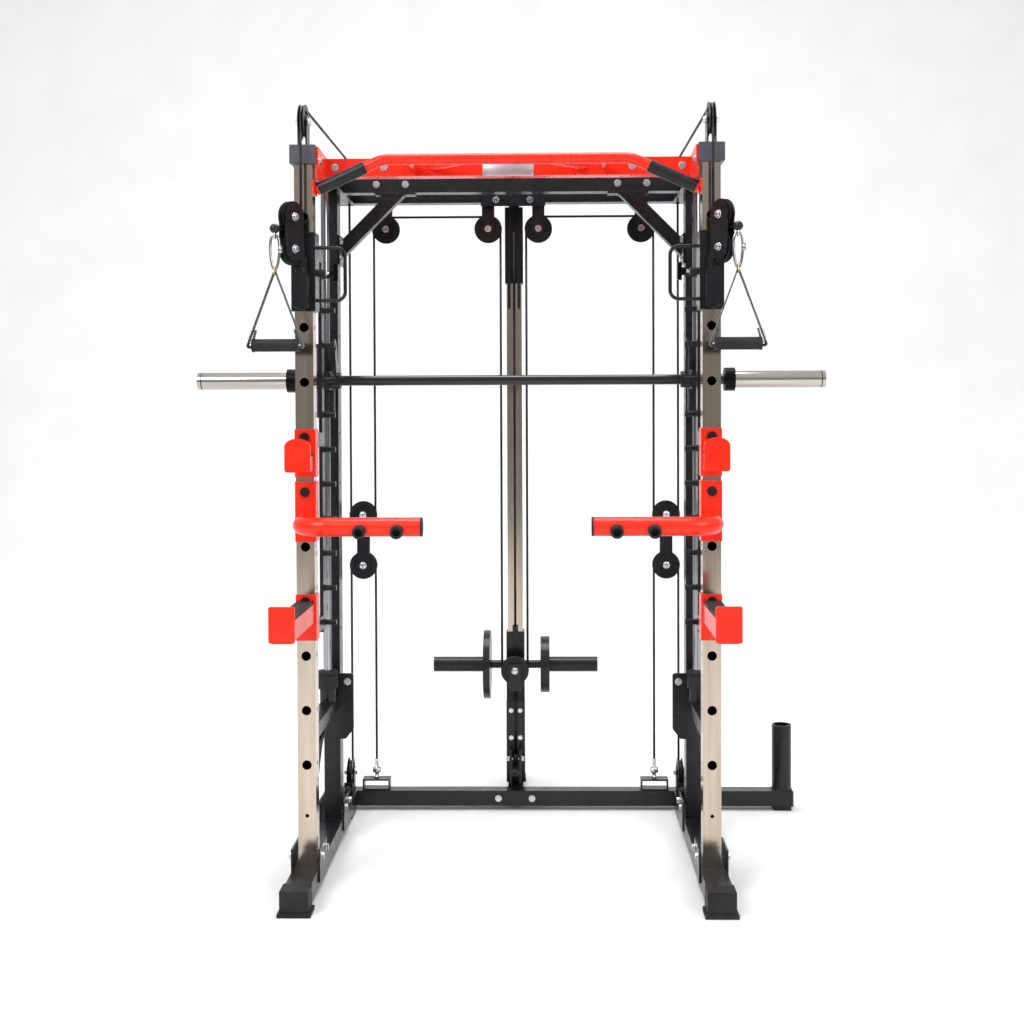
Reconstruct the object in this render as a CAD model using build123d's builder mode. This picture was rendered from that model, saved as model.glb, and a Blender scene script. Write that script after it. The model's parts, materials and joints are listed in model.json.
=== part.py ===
from build123d import *
import math
import os

os.makedirs("parts", exist_ok=True)

# A plate-loaded smith machine with a half rack, two height-adjustable cable trolleys and a rear
# cable tower.  Millimetres.  X to the right, Y to the rear, Z up, floor at z = 0, origin at the
# centre of the footprint.

# ---- driving dimensions -------------------------------------------------------------------
TUBE = 50.0                 # side of a square frame tube
HALF = TUBE / 2
WALL = 3.0                  # wall of a frame tube
PITCH = 150.0               # spacing of the attachment holes in an upright
FIRST_HOLE_Z = 343.0
HOLE_R = 13.0               # attachment hole
SIDES = (-1, 1)             # left and right half of the machine

UPRIGHT_X = 555.0           # centre plane of the side frames
FRONT_Y = -367.0            # axis of the front uprights
REAR_Y = 82.5               # axis of the rear uprights
REAR_DEPTH = 61.0
RAIL_W = 70.0               # base rails and top beams are wider than the uprights
RAIL_LOW = 15.0
RAIL_TOP = RAIL_LOW + TUBE
RAIL_FRONT = -592.0
BEAM_LOW = 1988.0
BEAM_TOP = BEAM_LOW + TUBE
BEAM_FRONT = -402.0
BEAM_REAR = 388.0
TUBE_FRONT = 337.0          # front face of the rear base tube
INNER_X = UPRIGHT_X - HALF  # inner face of an upright
BEAM_INNER_X = UPRIGHT_X - RAIL_W / 2

PLANE_Y = 363.0             # plane of the rear cable, its hangers and its floating blocks
CABLE_R = 3.75
GROOVE_R = 40.0             # cable centre line on a pulley
PULLEY_R = 45.0
PULLEY_W = 16.0
FLANK = 1.0                 # thickness of a pulley's edge
GROOVE_FLOOR = 2.6          # half width of a groove's floor
AXLE_R = 5.0
FIT = 0.05                  # radial clearance of a running fit
HANGER_X = (82.0, 417.0)
HANGER_Z = 1905.0
BLOCK_X = 497.0
BLOCK_UPPER_Z = 970.0
BLOCK_LOWER_Z = 804.0
INNER_FALL_X = BLOCK_X - GROOVE_R
OUTER_FALL_X = BLOCK_X + GROOVE_R
FRONT_CABLE_Y = -427.0      # the cable in front of the front uprights
TOP_PULLEY_R = 48.0
TOP_GROOVE_R = 42.0
TOP_PULLEY_Z = 2101.0
REAR_TOP_Z = 2086.0

ROD_Y = -28.0               # smith guide rods
ROD_R = 12.5
ROD_LOW = 454.0
BAR_Y = -76.0               # smith bar
BAR_Z = 1403.0
BAR_R = 15.0
SLEEVE_R = 25.0
SLEEVE_IN = 660.0
SLEEVE_OUT = 925.0

TOWER_Y = 473.0             # rear cable tower
TOWER_REAR = 738.0
FOOT_TOP = 336.0
CARRIAGE_LOW = 385.0
CARRIAGE_TOP = 570.0
HORN_Z = 456.0
CARRIAGE_GROOVE_R = HANGER_X[0] - GROOVE_R

TROLLEY_Z = 1693.0
TROLLEY_LOW = 1587.0
TROLLEY_TOP = 1801.0
HANDLE_OUT = 100.0          # reach of the handle's ball stop from the swivel axis
BALL_Z = 1797.0
GRIP_Z = 1489.0
GRIP_HALF = 62.0
GRIP_R = 18.0


# ---- shapes that repeat ------------------------------------------------------------------
def block(xs, ys, zs, mode=Mode.ADD):
    """A box from its low and high limits along X, Y and Z."""
    spans = (xs, ys, zs)
    with Locations(tuple(sum(span) / 2 for span in spans)):
        Box(*[abs(span[1] - span[0]) for span in spans], mode=mode)


def rod(start, end, radius, mode=Mode.ADD):
    """A round bar between two points."""
    run = Vector(*end) - Vector(*start)
    with Locations(Plane(origin=start, z_dir=run)):
        Cylinder(radius, run.length, align=(Align.CENTER, Align.CENTER, Align.MIN), mode=mode)


def mirrored(side, low, high):
    """An X span on the left (-1) or right (+1) half, given as distances from the middle."""
    return tuple(sorted((side * low, side * high)))


def tube_x(xs, y, z, width=TUBE, height=TUBE):
    """A square tube along X, open at its ends."""
    block(xs, (y - width / 2, y + width / 2), (z - height / 2, z + height / 2))
    block(xs, (y - width / 2 + WALL, y + width / 2 - WALL),
          (z - height / 2 + WALL, z + height / 2 - WALL), Mode.SUBTRACT)


def tube_y(x, ys, z, width=TUBE, height=TUBE):
    """A square tube along Y, open at its ends."""
    block((x - width / 2, x + width / 2), ys, (z - height / 2, z + height / 2))
    block((x - width / 2 + WALL, x + width / 2 - WALL), ys,
          (z - height / 2 + WALL, z + height / 2 - WALL), Mode.SUBTRACT)


def tube_z(x, y, zs, width=TUBE, depth=TUBE):
    """A square tube along Z, open at its ends."""
    block((x - width / 2, x + width / 2), (y - depth / 2, y + depth / 2), zs)
    block((x - width / 2 + WALL, x + width / 2 - WALL),
          (y - depth / 2 + WALL, y + depth / 2 - WALL), zs, Mode.SUBTRACT)


def plate(plane, outline, thickness, corner=0.0):
    """A flat plate: a polygon drawn on a plane, its corners rounded, and its thickness."""
    with BuildSketch(plane) as face:
        with BuildLine():
            Polyline(*outline, close=True)
        make_face()
        if corner:
            fillet(face.vertices(), corner)
    extrude(face.sketch, amount=thickness)


def wheel(centre, axis, radius=PULLEY_R, groove=GROOVE_R, width=PULLEY_W, bore=AXLE_R + FIT):
    """A grooved cable pulley: two rims, a V groove, thin web and a hub."""
    plane = Plane(origin=centre, z_dir=axis)
    half = width / 2
    base = groove - CABLE_R - 0.5
    hub = bore + 4
    rim = base - 5
    profile = [(bore, -half), (hub, -half), (hub, -half + 3), (rim, -half + 3),
               (rim, -half), (radius, -half), (radius, -half + FLANK), (base, -GROOVE_FLOOR),
               (base, GROOVE_FLOOR), (radius, half - FLANK), (radius, half), (rim, half),
               (rim, half - 3),
               (hub, half - 3), (hub, half), (bore, half)]
    with BuildSketch(Plane(origin=plane.origin, x_dir=plane.x_dir, z_dir=-plane.y_dir)) as face:
        with BuildLine():
            Polyline(*profile, close=True)
        make_face()
    revolve(face.sketch, axis=Axis(plane.origin, plane.z_dir))


def bolt(point, direction, size=9.0, washer=11.0):
    """A hex bolt head on its washer, standing on a face."""
    way = Vector(*direction)
    rod(point, tuple(Vector(*point) + way * 2), washer)
    with BuildSketch(Plane(origin=Vector(*point) + way * 2, z_dir=way)) as head:
        RegularPolygon(size, 6)
    extrude(head.sketch, amount=6)


def save(builder, name):
    """Name a finished piece and write it as a STEP file."""
    builder.part.label = name
    export_step(builder.part, f"parts/{name}.step")


# ---- base ---------------------------------------------------------------------------------
with BuildPart() as base_rails:
    for side in SIDES:
        tube_y(side * UPRIGHT_X, (RAIL_FRONT, TUBE_FRONT), RAIL_LOW + HALF, RAIL_W)
        for face_x in (520.0, 590.0):
            # paired foot brackets beside each upright
            outward = -1 if face_x < UPRIGHT_X else 1
            for y in (FRONT_Y, REAR_Y):
                with Locations((side * (face_x + outward * 2.5), y, 75)):
                    Box(5, 116, 90)
save(base_rails, "base_rails")

FOOT_FRONT = RAIL_FRONT - 9
with BuildPart() as rubber_feet:
    for side in SIDES:
        x = side * UPRIGHT_X
        block((x - 38, x + 38), (FOOT_FRONT, -540), (0, 68))
        block((x - 44, x + 44), (FOOT_FRONT - 5, -538), (0, 11))
        block((x - RAIL_W / 2, x + RAIL_W / 2), (RAIL_FRONT, -530), (RAIL_LOW, RAIL_TOP), Mode.SUBTRACT)
        block((x - 32, x + 32), (240, 320), (0, RAIL_LOW))
    block((845, 903), (340, 384), (0, RAIL_LOW))
    block((-30, 30), (675, 735), (0, RAIL_LOW))
save(rubber_feet, "rubber_feet")

HOLDER_X = 874.0
HOLDER_TOP = 279.0
HOLDER_R = 31.5
HOLDER_BORE = 26.5
with BuildPart() as rear_base_tube:
    tube_x((-590, 906), TUBE_FRONT + HALF, RAIL_LOW + HALF)
    block((903, 906), (TUBE_FRONT, TUBE_FRONT + TUBE), (RAIL_LOW, RAIL_TOP))
    block((-590, -587), (TUBE_FRONT, TUBE_FRONT + TUBE), (RAIL_LOW, RAIL_TOP))
    block((842, 906), (TUBE_FRONT, TUBE_FRONT + TUBE), (RAIL_TOP - 1, RAIL_TOP + 2))
    # floor beam of the cable tower, running to the rear
    tube_y(0, (TUBE_FRONT + TUBE, TOWER_REAR), RAIL_LOW + HALF)
    block((-HALF, HALF), (TOWER_REAR - 3, TOWER_REAR), (RAIL_LOW, RAIL_TOP))
    # barbell holder, welded on at the right-hand end
    rod((HOLDER_X, TUBE_FRONT + HALF, RAIL_TOP + 2), (HOLDER_X, TUBE_FRONT + HALF, HOLDER_TOP), HOLDER_R)
    rod((HOLDER_X, TUBE_FRONT + HALF, RAIL_TOP + 7), (HOLDER_X, TUBE_FRONT + HALF, HOLDER_TOP),
        HOLDER_BORE, Mode.SUBTRACT)
save(rear_base_tube, "rear_base_tube")

# ---- uprights -----------------------------------------------------------------------------
HOLE_HEIGHTS = [FIRST_HOLE_Z + PITCH * step for step in range(11)]
with BuildPart() as front_uprights:
    for side in SIDES:
        x = side * UPRIGHT_X
        tube_z(x, FRONT_Y, (RAIL_TOP, BEAM_LOW))
        for z in HOLE_HEIGHTS:
            # attachment hole in the front wall, pop-pin holes in the side walls
            rod((x, FRONT_Y - 30, z), (x, FRONT_Y, z), HOLE_R, Mode.SUBTRACT)
            rod((x - 30, FRONT_Y, z), (x + 30, FRONT_Y, z), 6, Mode.SUBTRACT)
        rod((x, FRONT_Y - 30, 203), (x, FRONT_Y, 203), 5, Mode.SUBTRACT)
save(front_uprights, "front_uprights")

with BuildPart() as rear_uprights:
    for side in SIDES:
        x = side * UPRIGHT_X
        tube_z(x, REAR_Y, (RAIL_TOP, BEAM_LOW), TUBE, REAR_DEPTH)
        for z in HOLE_HEIGHTS:
            rod((side * INNER_X - 8, REAR_Y, z), (side * INNER_X + 8, REAR_Y, z), 6, Mode.SUBTRACT)
save(rear_uprights, "rear_uprights")

# ---- top ----------------------------------------------------------------------------------
with BuildPart() as top_beams:
    for side in SIDES:
        x = side * UPRIGHT_X
        tube_y(x, (BEAM_FRONT, BEAM_REAR), BEAM_LOW + HALF, RAIL_W)
        for end in ((BEAM_FRONT, BEAM_FRONT + 4), (BEAM_REAR - 4, BEAM_REAR)):
            block((x - RAIL_W / 2, x + RAIL_W / 2), end, (BEAM_LOW, BEAM_TOP))
        hole_x = side * OUTER_FALL_X
        rod((hole_x, PLANE_Y, BEAM_LOW - 5), (hole_x, PLANE_Y, BEAM_TOP + 5), 9, Mode.SUBTRACT)
save(top_beams, "top_beams")

CROSS_Y = 143.0
with BuildPart() as top_crossbars:
    tube_x((-BEAM_INNER_X, BEAM_INNER_X), CROSS_Y, BEAM_LOW + HALF)
    tube_x((-BEAM_INNER_X, BEAM_INNER_X), PLANE_Y, BEAM_LOW + HALF)
save(top_crossbars, "top_crossbars")

BRACE_W = 40.0
BRACE_TOP_X = 360.0
BRACE_LOW_Z = 1806.0
with BuildPart() as corner_braces:
    for side in SIDES:
        # top pad under the crossbar and side pad on the rear upright's inner face
        block(mirrored(side, 298, 423), (CROSS_Y - HALF, CROSS_Y + HALF), (BEAM_LOW - 6, BEAM_LOW))
        block(mirrored(side, INNER_X - 6, INNER_X), (60, CROSS_Y + HALF),
              (BRACE_LOW_Z - 45, BRACE_LOW_Z + 45))
        reach = BRACE_W / 2 / math.sin(math.radians(45))
        low_x = INNER_X - 6
        rise = BEAM_LOW - 6
        run = low_x - BRACE_TOP_X
        outline = [(side * (BRACE_TOP_X - reach), rise), (side * (BRACE_TOP_X + reach), rise),
                   (side * low_x, rise - run + reach), (side * low_x, rise - run - reach)]
        plate(Plane(origin=(0, CROSS_Y - 20, 0), x_dir=(1, 0, 0), z_dir=(0, -1, 0)).offset(-40),
              outline, 40)
save(corner_braces, "corner_braces")

# ---- header and pull-up bar ---------------------------------------------------------------
HEADER_Y = -226.0
HEADER_Z = 2001.5
HEADER_X = 514.0
PULL_Z = 2003.0
PULL_R = 15.0
with BuildPart() as header_beam:
    tube_x((-HEADER_X, HEADER_X), HEADER_Y, HEADER_Z)
    for side in SIDES:
        sheet = Plane(origin=(side * HEADER_X, 0, 0), x_dir=(0, 1, 0), z_dir=(1, 0, 0))
        if side < 0:
            sheet = sheet.offset(-6)
        plate(sheet, [(-392, 1945), (-345, 1945), (HEADER_Y + HALF, HEADER_Z - HALF),
                      (HEADER_Y + HALF, HEADER_Z + HALF), (-392, 2036)], 6, 6)
save(header_beam, "header_beam")

PULL_POINTS = [(-INNER_X + 7, FRONT_Y, 1920), (-340, FRONT_Y, PULL_Z), (340, FRONT_Y, PULL_Z),
               (INNER_X - 7, FRONT_Y, 1920)]
with BuildPart() as pull_up_bar:
    with BuildLine() as pull_line:
        FilletPolyline(*PULL_POINTS, radius=90)
    with BuildSketch(Plane(origin=PULL_POINTS[0], z_dir=pull_line.line % 0)):
        Circle(PULL_R)
    sweep()
    for side in SIDES:
        block(mirrored(side, INNER_X - 6, INNER_X), (FRONT_Y - 25, FRONT_Y + 25), (1906, 1944))
        rod((side * 267, FRONT_Y + 8, PULL_Z), (side * 267, HEADER_Y - HALF, PULL_Z), 12.5)
        rod((side * 108, FRONT_Y + 4, PULL_Z), (side * 216, HEADER_Y - HALF, PULL_Z), 12.5)
    block((-HEADER_X, HEADER_X), (HEADER_Y - HALF, HEADER_Y), (1960, 2040), Mode.SUBTRACT)
save(pull_up_bar, "pull_up_bar")

slope = (Vector(*PULL_POINTS[1]) - Vector(*PULL_POINTS[0])).normalized()
with BuildPart() as pull_up_grips:
    for side in SIDES:
        way = Vector(-side * slope.X, slope.Y, slope.Z)
        start = Vector(side * (INNER_X - 7), FRONT_Y, 1920) + way * 8
        rod(tuple(start), tuple(start + way * 140), PULL_R + 2.5)
        rod(tuple(start - way), tuple(start + way * 142), PULL_R, Mode.SUBTRACT)
save(pull_up_grips, "pull_up_grips")

# ---- smith guide --------------------------------------------------------------------------
with BuildPart() as smith_rods:
    for side in SIDES:
        rod((side * UPRIGHT_X, ROD_Y, ROD_LOW), (side * UPRIGHT_X, ROD_Y, BEAM_LOW), ROD_R)
save(smith_rods, "smith_rods")

BUMPER_LOW = 480.0
BUMPER_TOP = 532.0
STOP_TOP = CARRIAGE_LOW - 0.5
with BuildPart() as rubber_bumpers:
    for side in SIDES:
        x = side * UPRIGHT_X
        rod((x, ROD_Y, BUMPER_LOW), (x, ROD_Y, BUMPER_TOP), 30)
        rod((x, ROD_Y, BUMPER_LOW), (x, ROD_Y, BUMPER_TOP), ROD_R, Mode.SUBTRACT)
        with BuildSketch(Plane.XY.offset(BUMPER_TOP - 12)) as waist:
            with Locations((x, ROD_Y)):
                Circle(30)
                Circle(27, mode=Mode.SUBTRACT)
        extrude(waist.sketch, amount=4, mode=Mode.SUBTRACT)
    # the weight carriage's stop, round the tower post
    block((-30, 30), (TOWER_Y - 30, TOWER_Y + 30), (FOOT_TOP, STOP_TOP))
    block((-HALF, HALF), (TOWER_Y - HALF, TOWER_Y + HALF), (FOOT_TOP, STOP_TOP), Mode.SUBTRACT)
save(rubber_bumpers, "rubber_bumpers")

FRONT_REAR_FACE = FRONT_Y + HALF
REAR_FRONT_FACE = REAR_Y - REAR_DEPTH / 2
with BuildPart() as rod_mounts:
    for side in SIDES:
        x = side * UPRIGHT_X
        # cup that holds the rod's foot, on an arm from upright to upright
        rod((x, ROD_Y, 440), (x, ROD_Y, BUMPER_LOW), 24)
        rod((x, ROD_Y, ROD_LOW), (x, ROD_Y, BUMPER_LOW + 1), ROD_R, Mode.SUBTRACT)
        block((x - 20, x + 20), (FRONT_REAR_FACE, REAR_FRONT_FACE), (400, 440))
        # arc-edged gussets between the arm and the front and rear uprights
        sheet = Plane(origin=(x - 4, 0, 0), x_dir=(0, 1, 0), z_dir=(1, 0, 0))
        with BuildSketch(sheet) as web:
            with BuildLine():
                Line((FRONT_REAR_FACE, 400), (FRONT_REAR_FACE, 190))
                ThreePointArc((FRONT_REAR_FACE, 190), (FRONT_REAR_FACE + 62, 336), (ROD_Y - 40, 400))
                Line((ROD_Y - 40, 400), (FRONT_REAR_FACE, 400))
            make_face()
        extrude(web.sketch, amount=8)
        # rounded backing plate on the rear upright
        plate(Plane(origin=(0, REAR_FRONT_FACE, 0), x_dir=(1, 0, 0), z_dir=(0, -1, 0)),
              [(side * 488, 509), (side * 576, 509), (side * 576, 308), (side * 512, 308),
               (side * 488, 338)], 8, 8)
save(rod_mounts, "rod_mounts")

CATCH_Y = -182.0
CATCH_X = 543.0
CATCH_LOW = 677.0
CATCH_TOP = 1788.0
PEG_PITCH = 100.0
with BuildPart() as catch_rails:
    for side in SIDES:
        x = side * CATCH_X
        block((x - 5, x + 5), (CATCH_Y - 20, CATCH_Y + 20), (CATCH_LOW, CATCH_TOP))
        for z in (CATCH_LOW + 30, (CATCH_LOW + CATCH_TOP) / 2, CATCH_TOP - 30):
            block((x - 5, x + 5), (FRONT_REAR_FACE, CATCH_Y - 20), (z - 20, z + 20))
        for step in range(-7, 4):
            z = BAR_Z + PEG_PITCH * step
            rod((x, CATCH_Y, z), (x - side * 40, CATCH_Y, z), 8)
save(catch_rails, "catch_rails")

# ---- rear cable tower ---------------------------------------------------------------------
HEAD_LOW = 1735.0
with BuildPart() as tower_post:
    tube_z(0, TOWER_Y, (RAIL_TOP, BEAM_LOW))
save(tower_post, "tower_post")

LAT_Y = 436.0                # the cable in front of the tower post
STOP_R = 14.0                # ball stop of the lat cable
ARM_PULLEY_Z = BEAM_TOP + 8
ARM_PULLEYS = [(0, LAT_Y + GROOVE_R, ARM_PULLEY_Z), (0, TOWER_REAR - GROOVE_R - STOP_R - 2, ARM_PULLEY_Z)]
LOW_PULLEY = (0, LAT_Y - 22, 150)
with BuildPart() as tower_brackets:
    # head sleeve around the post, foot sleeve and the guide fork below the head
    block((-30, 30), (TOWER_Y - 30, TOWER_Y + 30), (HEAD_LOW, BEAM_LOW))
    block((-31, 31), (TOWER_Y - 31, TOWER_Y + 31), (RAIL_TOP, FOOT_TOP))
    for x in (-16, 16):
        block((x - 4, x + 4), (TOWER_Y - 50, TOWER_Y - 30), (HEAD_LOW - 85, HEAD_LOW + 60))
        block((x - 4, x + 4), (TUBE_FRONT + TUBE, TOWER_Y - 31), (RAIL_TOP, 185))
    block((-HALF, HALF), (TOWER_Y - HALF, TOWER_Y + HALF), (RAIL_TOP, BEAM_LOW), Mode.SUBTRACT)
    rod((-30, LOW_PULLEY[1], LOW_PULLEY[2]), (30, LOW_PULLEY[1], LOW_PULLEY[2]), AXLE_R, Mode.SUBTRACT)
    # twin-plate arm from the rear crossbar over the post to the rear
    for x in (-14, 14):
        block((x - 3, x + 3), (PLANE_Y + HALF, TOWER_REAR), (BEAM_LOW, BEAM_TOP + 22))
    block((-11, 11), (TOWER_Y + 80, TOWER_Y + 130), (BEAM_LOW + 4, BEAM_LOW + 20))
    for centre in ARM_PULLEYS:
        rod((-30, centre[1], centre[2]), (30, centre[1], centre[2]), AXLE_R, Mode.SUBTRACT)
save(tower_brackets, "tower_brackets")

# ---- brackets, anchors and fixed pulleys --------------------------------------------------
BASE_PULLEY_Z = 132.0
BASE_PULLEY_Y = PLANE_Y - GROOVE_R
EAR = 4.0                    # thickness of a bracket ear
EAR_GAP = PULLEY_W / 2 + 1   # from a pulley's middle to its ear


def ears(centre, axis, reach, width):
    """Two ears beside a pulley, from `reach` (a vector to the mounting face) to past the axle."""
    axis = Vector(*axis)
    reach = Vector(*reach)
    for way in (-1, 1):
        start = Vector(*centre) + axis * way * EAR_GAP
        plane = Plane(origin=start, x_dir=reach, z_dir=axis * way)
        with BuildSketch(plane) as ear:
            Rectangle(reach.length, width, align=(Align.MIN, Align.CENTER))
            Circle(width / 2)
            Circle(AXLE_R, mode=Mode.SUBTRACT)
        extrude(ear.sketch, amount=EAR)


def axle(centre, axis):
    """An axle bolt: its shank, and a head beyond each ear."""
    centre = Vector(*centre)
    axis = Vector(*axis)
    outer = EAR_GAP + EAR
    rod(tuple(centre - axis * outer), tuple(centre + axis * outer), AXLE_R)
    for way in (-1, 1):
        bolt(tuple(centre + axis * way * outer), tuple(axis * way))


HANGERS = [(side * x, PLANE_Y, HANGER_Z) for side in SIDES for x in HANGER_X]
SLANT = (UPRIGHT_X - OUTER_FALL_X) / (PLANE_Y - FRONT_CABLE_Y)
TOP_PULLEYS = [(side * (UPRIGHT_X - TOP_GROOVE_R * SLANT), FRONT_CABLE_Y + TOP_GROOVE_R, TOP_PULLEY_Z)
               for side in SIDES]
REAR_TOPS = [(side * (OUTER_FALL_X + GROOVE_R * SLANT), PLANE_Y - GROOVE_R, REAR_TOP_Z)
             for side in SIDES]
BASE_PULLEYS = [(side * OUTER_FALL_X, BASE_PULLEY_Y, BASE_PULLEY_Z) for side in SIDES]
ALONG_X = (1, 0, 0)
ALONG_Y = (0, 1, 0)


def slanted(side):
    """The axis of a top pulley, square to the cable that runs back and inward."""
    return tuple(Vector(1, side * SLANT, 0).normalized())


with BuildPart() as pulley_brackets:
    for centre in HANGERS:
        ears(centre, ALONG_Y, (0, 0, BEAM_LOW - HANGER_Z), 40)
    block((-105, 105), (PLANE_Y - HALF - 4, PLANE_Y - HALF), (BEAM_LOW - 12, BEAM_LOW + 26))
    for side, front, rear, base in zip(SIDES, TOP_PULLEYS, REAR_TOPS, BASE_PULLEYS):
        ears(front, slanted(side), (0, 0, BEAM_TOP - front[2]), 40)
        ears(rear, slanted(side), (0, 0, BEAM_TOP - rear[2]), 34)
        ears(base, ALONG_X, (0, 0, RAIL_TOP - base[2]), 34)
        # guide plate of the low outlet
        x = side * OUTER_FALL_X
        block((x - 14, x + 14), (262, 267), (RAIL_TOP, RAIL_TOP + 46))
        rod((x, 260, BASE_PULLEY_Z - GROOVE_R), (x, 270, BASE_PULLEY_Z - GROOVE_R), 4, Mode.SUBTRACT)
    # anchors of the floating blocks' cables, on the rear base tube
    for side in SIDES:
        x = side * INNER_FALL_X
        block((x - 45, x + 45), (PLANE_Y - 22, PLANE_Y + 22), (RAIL_TOP, RAIL_TOP + 5))
        block((x - 45, x - 40), (PLANE_Y - 22, PLANE_Y + 22), (RAIL_TOP, RAIL_TOP + 36))
        block((x + 40, x + 45), (PLANE_Y - 22, PLANE_Y + 22), (RAIL_TOP, RAIL_TOP + 36))
        block((x - 45, x + 45), (PLANE_Y - 22, PLANE_Y + 22), (RAIL_TOP + 31, RAIL_TOP + 36))
        rod((x, PLANE_Y, RAIL_TOP + 36), (x, PLANE_Y, RAIL_TOP + 52), 6)
        rod((x - 12, PLANE_Y, RAIL_TOP + 63), (x + 12, PLANE_Y, RAIL_TOP + 63), 9)
        rod((x, PLANE_Y, RAIL_TOP + 50), (x, PLANE_Y, 165), 5)
save(pulley_brackets, "pulley_brackets")

with BuildPart() as fixed_pulleys:
    for side, rear, base in zip(SIDES, REAR_TOPS, BASE_PULLEYS):
        wheel(rear, slanted(side))
        wheel(base, ALONG_X)
    for centre in HANGERS:
        wheel(centre, ALONG_Y)
    for centre in ARM_PULLEYS:
        wheel(centre, ALONG_X)
    wheel(LOW_PULLEY, ALONG_X, 26, 22)
save(fixed_pulleys, "fixed_pulleys")

SIDE_NAMES = {-1: "left", 1: "right"}
for side, centre in zip(SIDES, TOP_PULLEYS):
    with BuildPart() as top_pulley:
        wheel(centre, slanted(side), TOP_PULLEY_R, TOP_GROOVE_R)
    save(top_pulley, f"top_pulley_{SIDE_NAMES[side]}")


# ---- cables that stay with the frame ------------------------------------------------------
def cable(points, radii):
    """A cable along straight runs joined by arcs, each a hair smaller than its pulley's groove."""
    with BuildLine() as route:
        FilletPolyline(*points, radius=[radius - 0.02 for radius in radii])
    with BuildSketch(Plane(origin=points[0], z_dir=route.line % 0)) as section:
        Circle(CABLE_R)
    sweep(section.sketch, path=route.line)


FIXED_UP_Z = HANGER_Z        # where the floating blocks' upper falls leave the fixed cable
FIXED_LOW_Z = 165.0
FRONT_TOP_Z = TOP_PULLEY_Z + TOP_GROOVE_R
STRAND_TOP_Z = TOP_PULLEY_Z - 5
REAR_CABLE_Z = REAR_TOP_Z + GROOVE_R
HANGER_CABLE_Z = HANGER_Z + GROOVE_R
BASE_CABLE_Z = BASE_PULLEY_Z - GROOVE_R
with BuildPart() as frame_cables:
    for side in SIDES:
        outer = side * OUTER_FALL_X
        cable([(side * UPRIGHT_X, FRONT_CABLE_Y, STRAND_TOP_Z),
               (side * UPRIGHT_X, FRONT_CABLE_Y, FRONT_TOP_Z + 1.0),
               (outer, PLANE_Y, REAR_CABLE_Z - 0.9),
               (outer, PLANE_Y, FIXED_UP_Z)], [TOP_GROOVE_R, GROOVE_R])
        cable([(side * INNER_FALL_X, PLANE_Y, FIXED_UP_Z),
               (side * INNER_FALL_X, PLANE_Y, HANGER_CABLE_Z),
               (side * CARRIAGE_GROOVE_R, PLANE_Y, HANGER_CABLE_Z),
               (side * CARRIAGE_GROOVE_R, PLANE_Y, FIXED_UP_Z)], [GROOVE_R, GROOVE_R])
        cable([(outer, PLANE_Y, FIXED_LOW_Z), (outer, PLANE_Y, BASE_CABLE_Z), (outer, 261, BASE_CABLE_Z)],
              [GROOVE_R])
        with Locations((outer, 250, BASE_CABLE_Z)):
            Sphere(12)
    cable([(0, LAT_Y, FIXED_UP_Z), (0, LAT_Y, ARM_PULLEY_Z + GROOVE_R),
           (0, ARM_PULLEYS[1][1] + GROOVE_R, ARM_PULLEY_Z + GROOVE_R),
           (0, ARM_PULLEYS[1][1] + GROOVE_R, 1930)], [GROOVE_R, GROOVE_R])
    with Locations((0, ARM_PULLEYS[1][1] + GROOVE_R, 1920)):
        Sphere(STOP_R)
    cable([(0, LAT_Y, FIXED_LOW_Z), (0, LAT_Y, LOW_PULLEY[2] - 22), (0, 330, LOW_PULLEY[2] - 22)], [22])
    with Locations((0, 320, LOW_PULLEY[2] - 22)):
        Sphere(12)
save(frame_cables, "frame_cables")


# ---- cables that lengthen or shorten as something moves -----------------------------------
def straight(builder_name, runs):
    """Straight vertical strands, one solid each: x, y, low z and high z."""
    with BuildPart() as strands:
        for x, y, low, high in runs:
            rod((x, y, low), (x, y, high), CABLE_R)
    save(strands, builder_name)


SWIVEL_PULLEY_R = 42.0
SWIVEL_GROOVE_R = 37.0
SWIVEL_UPPER_Z = BALL_Z + SWIVEL_GROOVE_R
for side in SIDES:
    straight(f"trolley_strand_{SIDE_NAMES[side]}",
             [(side * UPRIGHT_X, FRONT_CABLE_Y, SWIVEL_UPPER_Z, STRAND_TOP_Z)])
straight("upper_falls", [(side * x, PLANE_Y, BLOCK_UPPER_Z, FIXED_UP_Z)
                         for side in SIDES for x in (INNER_FALL_X, OUTER_FALL_X)])
straight("lower_falls", [(side * x, PLANE_Y, FIXED_LOW_Z, BLOCK_LOWER_Z)
                         for side in SIDES for x in (INNER_FALL_X, OUTER_FALL_X)]
         + [(0, LAT_Y, FIXED_LOW_Z, CARRIAGE_LOW)])
straight("carriage_falls", [(side * CARRIAGE_GROOVE_R, PLANE_Y, HORN_Z, FIXED_UP_Z) for side in SIDES]
         + [(0, LAT_Y, CARRIAGE_TOP + 20, FIXED_UP_Z)])

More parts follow.
